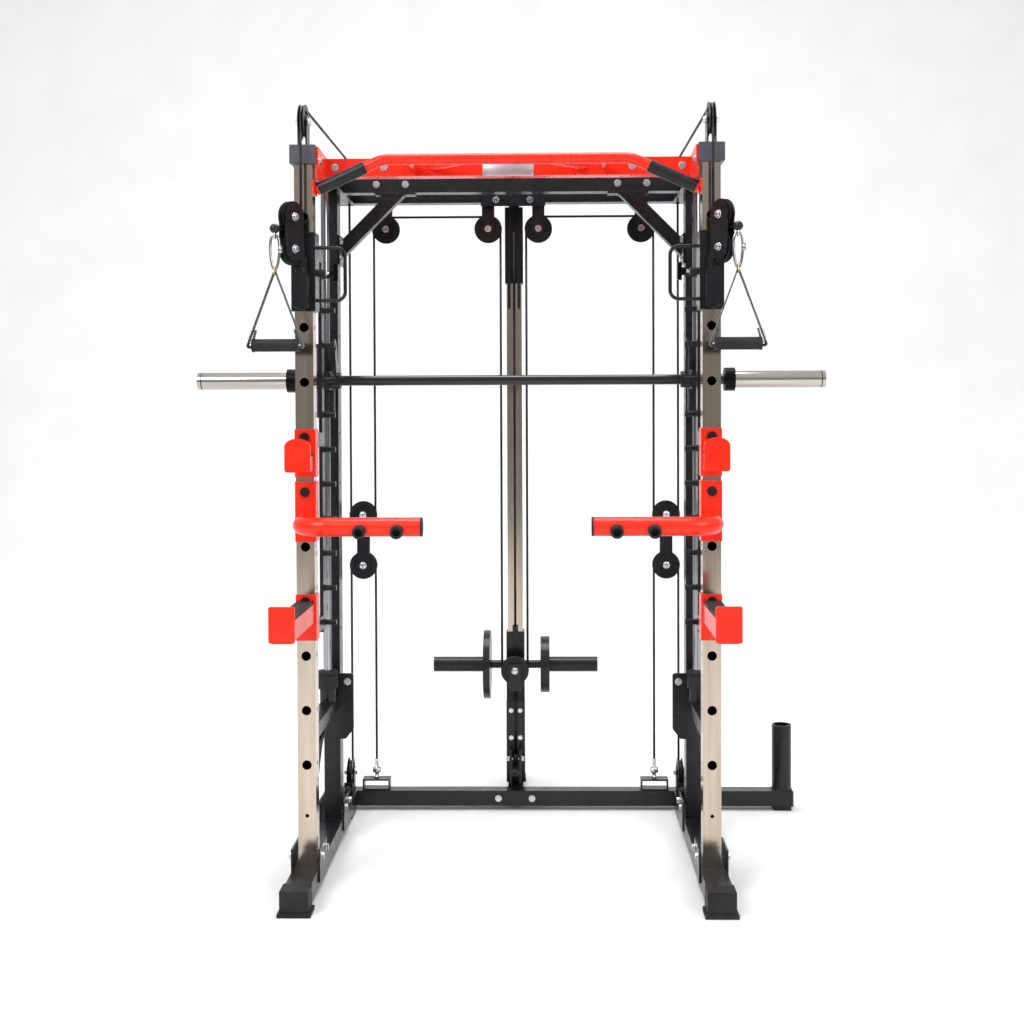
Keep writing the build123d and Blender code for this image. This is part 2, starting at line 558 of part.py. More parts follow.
# ---- floating blocks ----------------------------------------------------------------------
for side in SIDES:
    x = side * BLOCK_X
    upper = (x, PLANE_Y, BLOCK_UPPER_Z)
    lower = (x, PLANE_Y, BLOCK_LOWER_Z)
    with BuildPart() as floating_block:
        for way in (-1, 1):
            near = PLANE_Y + way * EAR_GAP
            with BuildSketch(Plane(origin=(0, near, 0), x_dir=(1, 0, 0), z_dir=(0, -1, 0))) as cheek:
                with Locations((x, (BLOCK_UPPER_Z + BLOCK_LOWER_Z) / 2)):
                    SlotCenterToCenter(BLOCK_UPPER_Z - BLOCK_LOWER_Z, 40, rotation=90)
            extrude(cheek.sketch, amount=-way * EAR)
        for centre in (upper, lower):
            rod((x, PLANE_Y - EAR_GAP - EAR, centre[2]), (x, PLANE_Y + EAR_GAP + EAR, centre[2]), AXLE_R)
            bolt((x, PLANE_Y - EAR_GAP - EAR, centre[2]), (0, -1, 0))
            bolt((x, PLANE_Y + EAR_GAP + EAR, centre[2]), (0, 1, 0))
        wheel(upper, ALONG_Y)
        wheel(lower, ALONG_Y)
        # the cable bends that travel with the block
        cable([(x - GROOVE_R, PLANE_Y, BLOCK_UPPER_Z), (x - GROOVE_R, PLANE_Y, BLOCK_UPPER_Z - GROOVE_R),
               (x + GROOVE_R, PLANE_Y, BLOCK_UPPER_Z - GROOVE_R), (x + GROOVE_R, PLANE_Y, BLOCK_UPPER_Z)],
              [GROOVE_R, GROOVE_R])
        cable([(x - GROOVE_R, PLANE_Y, BLOCK_LOWER_Z), (x - GROOVE_R, PLANE_Y, BLOCK_LOWER_Z + GROOVE_R),
               (x + GROOVE_R, PLANE_Y, BLOCK_LOWER_Z + GROOVE_R), (x + GROOVE_R, PLANE_Y, BLOCK_LOWER_Z)],
              [GROOVE_R, GROOVE_R])
    save(floating_block, f"floating_block_{SIDE_NAMES[side]}")

# ---- weight carriage ----------------------------------------------------------------------
SLIDE_GAP = 0.5              # from a tube to the sleeve that slides on it
with BuildPart() as weight_carriage:
    block((-30, 30), (TOWER_Y - 30, TOWER_Y + 30), (CARRIAGE_LOW, CARRIAGE_TOP))
    block((-HALF - SLIDE_GAP, HALF + SLIDE_GAP), (TOWER_Y - HALF - SLIDE_GAP, TOWER_Y + HALF + SLIDE_GAP),
          (CARRIAGE_LOW - 1, CARRIAGE_TOP + 1), Mode.SUBTRACT)
    # fork that carries the front pulley: side arms from the sleeve, then a yoke below the pulley
    for near in (PLANE_Y - EAR_GAP - EAR, PLANE_Y + EAR_GAP):
        block((-20, 20), (near, near + EAR), (CARRIAGE_LOW + 15, HORN_Z + 22))
    block((-20, 20), (PLANE_Y - EAR_GAP, PLANE_Y + EAR_GAP), (CARRIAGE_LOW + 3, CARRIAGE_LOW + 20))
    for way in (-1, 1):
        block(mirrored(way, 9, 20), (PLANE_Y + EAR_GAP + EAR, TOWER_Y - 30),
              (CARRIAGE_LOW + 15, HORN_Z + 22))
    # lugs for the cable ends, in front of the sleeve
    for low, high in ((CARRIAGE_LOW, CARRIAGE_LOW + 14), (CARRIAGE_TOP - 20, CARRIAGE_TOP + 20)):
        block((-9, 9), (LAT_Y - 8, TOWER_Y - 30), (low, high))
    for way in (-1, 1):
        rod((way * 29.5, TOWER_Y, HORN_Z), (way * 84, TOWER_Y, HORN_Z), 13.5)
    rod((0, PLANE_Y - EAR_GAP - EAR, HORN_Z), (0, PLANE_Y + EAR_GAP + EAR, HORN_Z), AXLE_R)
    block((-HALF, HALF), (TOWER_Y - HALF, TOWER_Y + HALF), (CARRIAGE_LOW, CARRIAGE_TOP), Mode.SUBTRACT)
    # the cable ends in the lugs, and the bend under the pulley
    edge = CARRIAGE_GROOVE_R
    cable([(-edge, PLANE_Y, HORN_Z), (-edge, PLANE_Y, HORN_Z - edge), (edge, PLANE_Y, HORN_Z - edge),
           (edge, PLANE_Y, HORN_Z)], [edge, edge])
save(weight_carriage, "weight_carriage")

HORN_R = 25.0
HORN_END = 275.0
with BuildPart() as plate_horns:
    for side, disc_r, disc_w in ((-1, 114.0, 22.0), (1, 93.5, 30.0)):
        rod((side * 84, TOWER_Y, HORN_Z), (side * (84 + disc_w), TOWER_Y, HORN_Z), disc_r)
        rod((side * (84 + disc_w), TOWER_Y, HORN_Z), (side * HORN_END, TOWER_Y, HORN_Z), HORN_R)
save(plate_horns, "plate_horns")

with BuildPart() as carriage_pulley:
    wheel((0, PLANE_Y, HORN_Z), ALONG_Y, 46, CARRIAGE_GROOVE_R)
save(carriage_pulley, "carriage_pulley")

# ---- smith bar ----------------------------------------------------------------------------
HOUSING_R = 27.5
HOUSING_HALF = 110.0
with BuildPart() as smith_bearings:
    for side in SIDES:
        x = side * UPRIGHT_X
        rod((x, ROD_Y, BAR_Z - HOUSING_HALF), (x, ROD_Y, BAR_Z + HOUSING_HALF), HOUSING_R)
        rod((x, ROD_Y, BAR_Z + HOUSING_HALF - 10), (x, ROD_Y, BAR_Z + HOUSING_HALF), HOUSING_R + 5)
        block((x - 23, x + 23), (BAR_Y - 27, ROD_Y), (BAR_Z - 27, BAR_Z + 27))
        rod((x - 24, BAR_Y, BAR_Z), (x + 24, BAR_Y, BAR_Z), BAR_R + FIT, Mode.SUBTRACT)
        rod((x, ROD_Y, BAR_Z - HOUSING_HALF - 1), (x, ROD_Y, BAR_Z + HOUSING_HALF + 1), ROD_R + FIT,
            Mode.SUBTRACT)
save(smith_bearings, "smith_bearings")

SPIGOT_R = 12.0
SLEEVE_GAP = 0.5
SLEEVE_START = 630.0
with BuildPart() as smith_bar:
    rod((-SLEEVE_START + SLEEVE_GAP, BAR_Y, BAR_Z), (SLEEVE_START - SLEEVE_GAP, BAR_Y, BAR_Z), BAR_R)
    rod((-SLEEVE_OUT + 12, BAR_Y, BAR_Z), (SLEEVE_OUT - 12, BAR_Y, BAR_Z), SPIGOT_R)
    for side in SIDES:
        # shaft collars that keep the bar between the bearings
        rod((side * (UPRIGHT_X + 24), BAR_Y, BAR_Z), (side * (UPRIGHT_X + 34), BAR_Y, BAR_Z), 22)
save(smith_bar, "smith_bar")

HOOK_X = 516.0
HOOK_REACH = BAR_Y - CATCH_Y
HOOK_REST = math.radians(70)     # the hooks stand this far above the pegs when the bar is free
with BuildPart() as bar_hooks:
    for side in SIDES:
        rod((side * (HOOK_X - 14), BAR_Y, BAR_Z), (side * (HOOK_X + 14), BAR_Y, BAR_Z), 24)
        forward = (0, -math.cos(HOOK_REST), math.sin(HOOK_REST))
        sheet = Plane(origin=(side * HOOK_X + 4, BAR_Y, BAR_Z), x_dir=forward, z_dir=(-1, 0, 0))
        with BuildSketch(sheet) as hook:
            with BuildLine():
                Polyline((HOOK_REACH - 10, 0), (HOOK_REACH - 10, -14), (0, -20), (0, 22),
                         (HOOK_REACH - 6, 24), (HOOK_REACH + 20, 10), (HOOK_REACH + 20, -20),
                         (HOOK_REACH + 10, -20), (HOOK_REACH + 10, 0))
                ThreePointArc((HOOK_REACH + 10, 0), (HOOK_REACH, 10), (HOOK_REACH - 10, 0))
            make_face()
        extrude(hook.sketch, amount=8)
        rod((side * (HOOK_X - 15), BAR_Y, BAR_Z), (side * (HOOK_X + 15), BAR_Y, BAR_Z), BAR_R, Mode.SUBTRACT)
save(bar_hooks, "bar_hooks")

for side in SIDES:
    with BuildPart() as sleeve:
        rod((side * SLEEVE_START, BAR_Y, BAR_Z), (side * SLEEVE_IN, BAR_Y, BAR_Z), 34.5)
        rod((side * SLEEVE_IN, BAR_Y, BAR_Z), (side * SLEEVE_OUT, BAR_Y, BAR_Z), SLEEVE_R)
        rod((side * (SLEEVE_START - 1), BAR_Y, BAR_Z), (side * (SLEEVE_OUT - 11), BAR_Y, BAR_Z),
            SPIGOT_R + FIT, Mode.SUBTRACT)
    save(sleeve, f"bar_sleeve_{SIDE_NAMES[side]}")

# ---- cable trolleys -----------------------------------------------------------------------
LUG_TOP = 1690.0
TROLLEY_HALF = 33.0
PIN_R = 5.0
PIN_CLEAR = 1.0              # from the drawn pin's nose to the upright
LINK_R = 12.0                # half width of the carabiner
for side in SIDES:
    name = SIDE_NAMES[side]
    x = side * UPRIGHT_X
    inner = x - side * TROLLEY_HALF
    with BuildPart() as trolley:
        block((x - TROLLEY_HALF, x + TROLLEY_HALF), (FRONT_Y - TROLLEY_HALF, FRONT_Y + TROLLEY_HALF),
              (TROLLEY_LOW, TROLLEY_TOP))
        # lug with the swivel's bore
        block((x - 20, x + 20), (FRONT_CABLE_Y - 20, FRONT_Y), (TROLLEY_LOW + 8, LUG_TOP))
        rod((x, FRONT_CABLE_Y, TROLLEY_LOW), (x, FRONT_CABLE_Y, LUG_TOP + 1), 10 + FIT, Mode.SUBTRACT)
        clear = HALF + SLIDE_GAP
        block((x - clear, x + clear), (FRONT_Y - clear, FRONT_Y + clear),
              (TROLLEY_LOW - 1, TROLLEY_TOP + 1), Mode.SUBTRACT)
        # slot along the back, past the catch rail's arms
        block((x - 22, x + 22), (FRONT_Y + HALF, FRONT_Y + TROLLEY_HALF + 1),
              (TROLLEY_LOW - 1, TROLLEY_TOP + 1), Mode.SUBTRACT)
        # pop-pin barrel
        rod((inner + side * 4, FRONT_Y, TROLLEY_Z), (inner - side * 24, FRONT_Y, TROLLEY_Z), 10)
        rod((inner + side * 9, FRONT_Y, TROLLEY_Z), (inner - side * 25, FRONT_Y, TROLLEY_Z), PIN_R + FIT,
            Mode.SUBTRACT)
        # bent-rod loop to move the trolley by
        low = (inner, FRONT_Y - 8, TROLLEY_LOW + 30)
        high = (inner, FRONT_Y - 8, TROLLEY_TOP - 40)
        far = inner - side * 78
        with BuildLine() as loop_path:
            FilletPolyline(low, (far, low[1], low[2]), (far, high[1], high[2]), high, radius=24)
        with BuildSketch(Plane(origin=low, z_dir=(-side, 0, 0))) as loop_section:
            Circle(5)
        sweep(loop_section.sketch, path=loop_path.line)
    save(trolley, f"trolley_{name}")

    with BuildPart() as pop_pin:
        nose = side * (INNER_X - PIN_CLEAR)
        tail = inner - side * 34
        rod((nose, FRONT_Y, TROLLEY_Z), (tail, FRONT_Y, TROLLEY_Z), PIN_R)
        rod((tail, FRONT_Y, TROLLEY_Z), (tail - side * 12, FRONT_Y, TROLLEY_Z), 11)
        block(tuple(sorted((tail - side * 12, tail - side * 24))), (FRONT_Y - 9, FRONT_Y + 9),
              (TROLLEY_Z - 24, TROLLEY_Z + 24))
    save(pop_pin, f"pop_pin_{name}")

    # swivel: everything below is laid out along the direction in which the handle is pulled
    way = Vector(side * 0.55, -0.835, 0).normalized()
    across = way.cross(Vector(0, 0, 1))
    pivot = Vector(x, FRONT_CABLE_Y, 0)
    upper = pivot + way * SWIVEL_GROOVE_R + Vector(0, 0, SWIVEL_UPPER_Z)
    lower = pivot + way * SWIVEL_GROOVE_R + Vector(0, 0, SWIVEL_UPPER_Z - 2 * SWIVEL_GROOVE_R - 12)
    with BuildPart() as swivel:
        rod((x, FRONT_CABLE_Y, TROLLEY_LOW + 2), (x, FRONT_CABLE_Y, LUG_TOP + 2), 10)
        rod((x, FRONT_CABLE_Y, LUG_TOP + 0.5), (x, FRONT_CABLE_Y, LUG_TOP + 10), 16)
        middle = (upper.Z + lower.Z) / 2
        for hand in (-1, 1):
            sheet = Plane(origin=pivot + across * hand * EAR_GAP, x_dir=way, z_dir=across * hand)
            with BuildSketch(sheet) as cheek:
                up = 1 if sheet.y_dir.Z > 0 else -1
                with Locations((SWIVEL_GROOVE_R, up * middle)):
                    SlotCenterToCenter(upper.Z - lower.Z, 68, rotation=90)
                with Locations((4, up * (LUG_TOP + 22))):
                    Rectangle(24, 36)
                for centre in (upper, lower):
                    with Locations((SWIVEL_GROOVE_R, up * centre.Z)):
                        Circle(AXLE_R, mode=Mode.SUBTRACT)
            extrude(cheek.sketch, amount=EAR)
        saddle = pivot + way * 4 + Vector(0, 0, LUG_TOP + 8)
        with Locations(Plane(origin=saddle, x_dir=way, z_dir=(0, 0, 1))):
            Box(24, 2 * EAR_GAP, 6)
        for centre in (upper, lower):
            outer = EAR_GAP + EAR
            rod(tuple(centre - across * outer), tuple(centre + across * outer), AXLE_R)
            bolt(tuple(centre + across * outer), tuple(across))
            bolt(tuple(centre - across * outer), tuple(across * -1))
        wheel(tuple(lower), tuple(across), SWIVEL_PULLEY_R, SWIVEL_GROOVE_R)
        # the cable's end, between the two pulleys, with its ball stop
        ball = pivot + way * HANDLE_OUT + Vector(0, 0, BALL_Z)
        head = pivot + Vector(0, 0, SWIVEL_UPPER_Z)
        corner = pivot + Vector(0, 0, BALL_Z)
        cable([tuple(head), tuple(corner), tuple(ball)], [SWIVEL_GROOVE_R])
        with Locations(tuple(ball)):
            Sphere(13)
    save(swivel, f"swivel_{name}")
    with BuildPart() as swivel_pulley:
        wheel(tuple(upper), tuple(across), SWIVEL_PULLEY_R, SWIVEL_GROOVE_R)
    save(swivel_pulley, f"swivel_pulley_{name}")

    # carabiner on the ball's eye, then the handle: D-ring, strap and grip
    with BuildPart() as carabiner:
        link_top = BALL_Z - 30
        link_low = link_top - 66
        middle = (link_top + link_low) / 2
        left, right = ball.X - LINK_R, ball.X + LINK_R
        with BuildLine() as link:
            Line((left, ball.Y, middle), (left, ball.Y, link_top))
            ThreePointArc((left, ball.Y, link_top), (ball.X, ball.Y, link_top + LINK_R),
                          (right, ball.Y, link_top))
            Line((right, ball.Y, link_top), (right, ball.Y, link_low))
            ThreePointArc((right, ball.Y, link_low), (ball.X, ball.Y, link_low - LINK_R),
                          (left, ball.Y, link_low))
            Line((left, ball.Y, link_low), (left, ball.Y, middle))
        with BuildSketch(Plane(origin=link.line @ 0, z_dir=(0, 0, 1))) as wire:
            Circle(4)
        sweep(wire.sketch, path=link.line)
    save(carabiner, f"carabiner_{name}")

    ring_z = link_low - 17
    with BuildPart() as handle_strap:
        block((ball.X - 15, ball.X + 15), (ball.Y - 14, ball.Y + 14), (ring_z - 8, ring_z))
        for end in (-1, 1):
            foot = (ball.X + end * (GRIP_HALF + 5), GRIP_Z + 14)
            head = (ball.X + end * 8, ring_z - 6)
            sheet = Plane(origin=(0, ball.Y + 12, 0), x_dir=(1, 0, 0), z_dir=(0, -1, 0))
            plate(sheet, [(foot[0] - 2, foot[1]), (foot[0] + 2, foot[1]), (head[0] + 2, head[1]),
                          (head[0] - 2, head[1])], 24)
            rod((foot[0] - 4, ball.Y, GRIP_Z), (foot[0] + 4, ball.Y, GRIP_Z), 17)
            rod((foot[0] - 5, ball.Y, GRIP_Z), (foot[0] + 5, ball.Y, GRIP_Z), 6 + FIT, Mode.SUBTRACT)
    save(handle_strap, f"handle_strap_{name}")
    with BuildPart() as handle_grip:
        rod((ball.X - GRIP_HALF, ball.Y, GRIP_Z), (ball.X + GRIP_HALF, ball.Y, GRIP_Z), GRIP_R)
        rod((ball.X - GRIP_HALF - 10, ball.Y, GRIP_Z), (ball.X + GRIP_HALF + 10, ball.Y, GRIP_Z), 6)
    save(handle_grip, f"handle_grip_{name}")

# ---- attachments on the front uprights ----------------------------------------------------
FACE_Y = FRONT_Y - HALF      # front face of the uprights
HOOK_HOLE_Z = 1243.0
DIP_HOLE_Z = 1093.0
SPOT_HOLE_Z = 793.0
LIP_Y = -507.0
SPOT_FRONT = -738.0


def back_plate(side, low, high, hole_z):
    """A plate on an upright's front face with a flange round its inner side, and a pin hole."""
    x = side * UPRIGHT_X
    block((x - 27, x + 27), (FACE_Y - 5, FACE_Y), (low, high))
    block(mirrored(side, INNER_X - 5, INNER_X), (FACE_Y - 5, FACE_Y + 44), (low, high))
    rod((x, FACE_Y - 10, hole_z), (x, FACE_Y + 1, hole_z), HOLE_R, Mode.SUBTRACT)


with BuildPart() as j_hooks:
    for side in SIDES:
        x = side * UPRIGHT_X
        block((x - 25, x + 25), (LIP_Y, FACE_Y - 5), (1152, 1192))
        with BuildSketch(Plane(origin=(0, LIP_Y + 6, 0), x_dir=(1, 0, 0), z_dir=(0, -1, 0))) as lip:
            with Locations((x, 1186)):
                Rectangle(69, 68)
            with Locations((x, 1220)):
                Ellipse(34.5, 22)
            fillet(lip.vertices().group_by(Axis.Y)[0], 8)
            with Locations((x, 1226)):
                Circle(3, mode=Mode.SUBTRACT)
        extrude(lip.sketch, amount=6)
        back_plate(side, 1134, 1265, HOOK_HOLE_Z)
save(j_hooks, "j_hooks")

DIP_R = 25.5
DIP_Z = 1007.0
DIP_Y = -503.0
DIP_END = 229.0
with BuildPart() as dip_handles:
    for side in SIDES:
        x = side * UPRIGHT_X
        with BuildLine() as path:
            FilletPolyline((x, FACE_Y - 4, DIP_Z), (x, DIP_Y, DIP_Z), (side * DIP_END, DIP_Y, DIP_Z),
                           radius=70)
        with BuildSketch(Plane(origin=(x, FACE_Y - 4, DIP_Z), z_dir=(0, -1, 0))):
            Circle(DIP_R)
            Circle(DIP_R - 3, mode=Mode.SUBTRACT)
        sweep()
        back_plate(side, 957, 1122, DIP_HOLE_Z)
save(dip_handles, "dip_handles")

with BuildPart() as spotter_arms:
    for side in SIDES:
        x = side * UPRIGHT_X
        tube_y(x, (SPOT_FRONT + 6, FACE_Y - 5), 763)
        with BuildSketch(Plane(origin=(0, SPOT_FRONT + 6, 0), x_dir=(1, 0, 0), z_dir=(0, -1, 0))) as stop:
            with Locations((x, 783.5)):
                RectangleRounded(66, 91, 5)
        extrude(stop.sketch, amount=6)
        back_plate(side, 686, 812, SPOT_HOLE_Z)
save(spotter_arms, "spotter_arms")

with BuildPart() as attachment_trim:
    for side in SIDES:
        x = side * UPRIGHT_X
        block((x - 24, x + 24), (LIP_Y + 6, FACE_Y - 5), (1192, 1199))
        block((x - 23, x + 23), (SPOT_FRONT + 6, FACE_Y - 5), (788, 795))
        # end plugs and hollow pegs of the dip handles
        rod((side * (DIP_END - 5), DIP_Y, DIP_Z), (side * DIP_END, DIP_Y, DIP_Z), DIP_R)
        for x in (388, 289):
            rod((side * x, DIP_Y - 25.7, DIP_Z - 8), (side * x, DIP_Y - 48, DIP_Z - 12), 17)
            rod((side * x, DIP_Y - 30, DIP_Z - 9), (side * x, DIP_Y - 50, DIP_Z - 12), 11, Mode.SUBTRACT)
save(attachment_trim, "attachment_trim")

with BuildPart() as attachment_pins:
    for side in SIDES:
        x = side * UPRIGHT_X
        for hole_z, front in ((HOOK_HOLE_Z, 12), (DIP_HOLE_Z, 12)):
            rod((x, FACE_Y - front, hole_z), (x, FACE_Y + TUBE - 4, hole_z), HOLE_R - 0.6)
        # the spotter's pin has no room for a knob above its arm's liner
        rod((x, FACE_Y - 5, SPOT_HOLE_Z), (x, FACE_Y + TUBE - 4, SPOT_HOLE_Z), HOLE_R - 0.6)
save(attachment_pins, "attachment_pins")

# ---- fasteners ----------------------------------------------------------------------------
with BuildPart() as frame_bolts:
    for side in SIDES:
        for x in (328, 418):
            bolt((side * x, CROSS_Y - HALF, BEAM_LOW + HALF), (0, -1, 0))
        bolt((side * 55, PLANE_Y - HALF - 4, BEAM_LOW + 8), (0, -1, 0))
        bolt((side * 55, TUBE_FRONT, RAIL_LOW + HALF), (0, -1, 0))
        for y in (FRONT_Y - 38, FRONT_Y + 38, REAR_Y - 38, REAR_Y + 38):
            for face, out in ((515.0, -1), (595.0, 1)):
                bolt((side * face, y, 98), (side * out, 0, 0))
        for z in (BRACE_LOW_Z - 28, BRACE_LOW_Z + 28):
            bolt((side * (INNER_X - 6), REAR_Y - 5, z), (-side, 0, 0))
        bolt((side * 506, REAR_FRONT_FACE - 8, 484), (0, -1, 0))
        bolt((side * HEADER_X, FRONT_Y - 5, HEADER_Z - 5), (-side, 0, 0))
        for x in (350, 490):
            bolt((side * x, HEADER_Y - HALF, HEADER_Z), (0, -1, 0))
        for z in (FOOT_TOP - 30, 215):
            bolt((side * 15, TOWER_Y - 31, z), (0, -1, 0), 7, 8)
    # axle bolts of the pulleys that stay with the frame
    for centre in HANGERS:
        axle(centre, ALONG_Y)
    for side, front, rear, base in zip(SIDES, TOP_PULLEYS, REAR_TOPS, BASE_PULLEYS):
        axle(front, slanted(side))
        axle(rear, slanted(side))
        axle(base, ALONG_X)
    for centre in ARM_PULLEYS:
        rod((-17, centre[1], centre[2]), (17, centre[1], centre[2]), AXLE_R)
        for way in (-1, 1):
            bolt((way * 17, centre[1], centre[2]), (way, 0, 0))
    rod((-20, LOW_PULLEY[1], LOW_PULLEY[2]), (20, LOW_PULLEY[1], LOW_PULLEY[2]), AXLE_R)
    for way in (-1, 1):
        bolt((way * 20, LOW_PULLEY[1], LOW_PULLEY[2]), (way, 0, 0))
save(frame_bolts, "frame_bolts")
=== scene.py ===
import json
import math

import bmesh
import bpy
from mathutils import Matrix, Vector


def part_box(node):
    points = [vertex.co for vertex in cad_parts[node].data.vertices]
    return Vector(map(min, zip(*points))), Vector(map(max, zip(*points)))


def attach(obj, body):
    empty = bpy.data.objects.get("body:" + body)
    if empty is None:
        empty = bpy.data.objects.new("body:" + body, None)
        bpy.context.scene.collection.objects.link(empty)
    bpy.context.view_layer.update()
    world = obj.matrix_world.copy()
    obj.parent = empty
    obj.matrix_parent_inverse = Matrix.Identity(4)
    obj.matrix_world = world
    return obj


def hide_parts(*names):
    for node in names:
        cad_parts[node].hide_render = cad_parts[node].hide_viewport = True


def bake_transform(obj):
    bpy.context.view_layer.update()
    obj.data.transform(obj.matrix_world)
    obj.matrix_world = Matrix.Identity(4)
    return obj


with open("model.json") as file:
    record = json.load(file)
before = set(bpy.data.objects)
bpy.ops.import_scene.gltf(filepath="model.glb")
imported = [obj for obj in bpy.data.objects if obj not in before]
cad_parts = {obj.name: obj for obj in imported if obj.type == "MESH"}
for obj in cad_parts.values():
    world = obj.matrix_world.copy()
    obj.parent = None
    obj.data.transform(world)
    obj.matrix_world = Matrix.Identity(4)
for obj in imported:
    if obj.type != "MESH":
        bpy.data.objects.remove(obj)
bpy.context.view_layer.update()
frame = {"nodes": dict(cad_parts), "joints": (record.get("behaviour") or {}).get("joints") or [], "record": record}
nodes = frame["nodes"]
SIDES = {"left": -1, "right": 1}
TUBE_HALF = 0.025          # half of a 50 mm frame tube

# ---- camera -------------------------------------------------------------------------------
CAMERA_PLACE = Vector((0.10155, -4.092, 1.32752))
CAMERA_YAW, CAMERA_PITCH, CAMERA_ROLL = 0.01818, -0.0185, -0.00375
CAMERA_LENS, CAMERA_SHIFT = 47.754, (-0.0081, -0.0794)


def make_camera():
    """A camera at standing height in front, a little right of the middle."""
    data = bpy.data.cameras.new("camera")
    data.sensor_width = 36.0
    data.lens = CAMERA_LENS
    data.shift_x, data.shift_y = CAMERA_SHIFT
    camera = bpy.data.objects.new("camera", data)
    bpy.context.scene.collection.objects.link(camera)
    turn = (Matrix.Rotation(CAMERA_YAW, 4, "Z") @ Matrix.Rotation(math.pi / 2 + CAMERA_PITCH, 4, "X")
            @ Matrix.Rotation(CAMERA_ROLL, 4, "Z"))
    camera.matrix_world = Matrix.Translation(CAMERA_PLACE) @ turn
    bpy.context.scene.camera = camera


# ---- materials ----------------------------------------------------------------------------
def new_material(name):
    material = bpy.data.materials.new(name)
    material.use_nodes = True
    tree = material.node_tree
    return material, tree, tree.nodes["Principled BSDF"]


def object_point(tree, stretch=(1, 1, 1), turn=(0, 0, 0)):
    """The point in the row frame, stretched and turned."""
    coords = tree.nodes.new("ShaderNodeTexCoord")
    mapping = tree.nodes.new("ShaderNodeMapping")
    mapping.inputs["Scale"].default_value = stretch
    mapping.inputs["Rotation"].default_value = turn
    tree.links.new(coords.outputs["Object"], mapping.inputs["Vector"])
    return mapping.outputs["Vector"]


def noise(tree, scale, detail=4.0, roughness=0.5, stretch=(1, 1, 1)):
    texture = tree.nodes.new("ShaderNodeTexNoise")
    texture.inputs["Scale"].default_value = scale
    texture.inputs["Detail"].default_value = detail
    texture.inputs["Roughness"].default_value = roughness
    tree.links.new(object_point(tree, stretch), texture.inputs["Vector"])
    return texture.outputs["Fac"]


def ramp(tree, value, stops):
    """A colour ramp; each stop is a position and a grey level or a colour."""
    node = tree.nodes.new("ShaderNodeValToRGB")
    tree.links.new(value, node.inputs["Fac"])
    for element, (place, colour) in zip(node.color_ramp.elements, stops):
        element.position = place
        level = (colour,) * 3 if isinstance(colour, float) else colour
        element.color = (*level, 1)
    return node.outputs["Color"]


def maths(tree, operation, first, second):
    """A sum, product or comparison of two outputs or numbers."""
    node = tree.nodes.new("ShaderNodeMath")
    node.operation = operation
    for place, value in enumerate((first, second)):
        if isinstance(value, float):
            node.inputs[place].default_value = value
        else:
            tree.links.new(value, node.inputs[place])
    return node.outputs["Value"]


def relief(tree, shader, height, strength, distance, edge=0.0):
    """A bump from a height, over edges softened by a small bevel."""
    node = tree.nodes.new("ShaderNodeBump")
    node.inputs["Strength"].default_value = strength
    node.inputs["Distance"].default_value = distance
    tree.links.new(height, node.inputs["Height"])
    if edge:
        soft = tree.nodes.new("ShaderNodeBevel")
        soft.samples = 4
        soft.inputs["Radius"].default_value = edge
        tree.links.new(soft.outputs["Normal"], node.inputs["Normal"])
    tree.links.new(node.outputs["Normal"], shader.inputs["Normal"])


def coat(name, dark, light, rough, peel=900.0, edge=0.0015, coating=0.0, depth=0.25, specular=0.3):
    """A painted or moulded surface: mottled colour, uneven gloss and fine orange peel."""
    material, tree, shader = new_material(name)
    cloudy = noise(tree, 9.0, 6.0, 0.6)
    colour = ramp(tree, cloudy, [(0.3, dark), (0.7, light)])
    tree.links.new(colour, shader.inputs["Base Color"])
    tree.links.new(ramp(tree, noise(tree, 45.0, 5.0), [(0.3, rough[0]), (0.7, rough[1])]),
                   shader.inputs["Roughness"])
    relief(tree, shader, noise(tree, peel, 3.0), depth, 0.0004, edge)
    shader.inputs["Specular IOR Level"].default_value = specular
    shader.inputs["Coat Weight"].default_value = coating
    shader.inputs["Coat Roughness"].default_value = 0.12
    return material


def polished(name, dark, light, rough, stretch, edge=0.001):
    """Bright metal with clouding and faint lengthwise polishing marks."""
    material, tree, shader = new_material(name)
    shader.inputs["Metallic"].default_value = 1.0
    tree.links.new(ramp(tree, noise(tree, 6.0, 6.0, 0.65, stretch), [(0.3, dark), (0.7, light)]),
                   shader.inputs["Base Color"])
    tree.links.new(ramp(tree, noise(tree, 220.0, 4.0, 0.5, stretch), [(0.3, rough[0]), (0.7, rough[1])]),
                   shader.inputs["Roughness"])
    relief(tree, shader, noise(tree, 500.0, 2.0, 0.5, stretch), 0.05, 0.0002, edge)
    return material


def distance_from(tree, axis, place):
    """How far a point is from a plane square to an axis, or from a mirrored pair of planes."""
    split = tree.nodes.new("ShaderNodeSeparateXYZ")
    tree.links.new(object_point(tree), split.inputs["Vector"])
    across = maths(tree, "ABSOLUTE", split.outputs[axis], 0.0) if axis == "X" else split.outputs[axis]
    return maths(tree, "ABSOLUTE", maths(tree, "SUBTRACT", across, place), 0.0)


def darken(material, distance, reach, level, rough):
    """A darker, duller colour wherever the distance is under the reach; it paints shade inside the uprights and
    colours black flanges and knobs.
    """
    tree = material.node_tree
    shader = tree.nodes["Principled BSDF"]
    inside = maths(tree, "LESS_THAN", distance, reach)
    for socket, value in (("Base Color", level), ("Roughness", rough)):
        mix = tree.nodes.new("ShaderNodeMix")
        mix.data_type = "RGBA"
        tree.links.new(inside, mix.inputs[0])
        tree.links.new(shader.inputs[socket].links[0].from_socket, mix.inputs[6])
        mix.inputs[7].default_value = (value, value, value, 1)
        tree.links.new(mix.outputs[2], shader.inputs[socket])


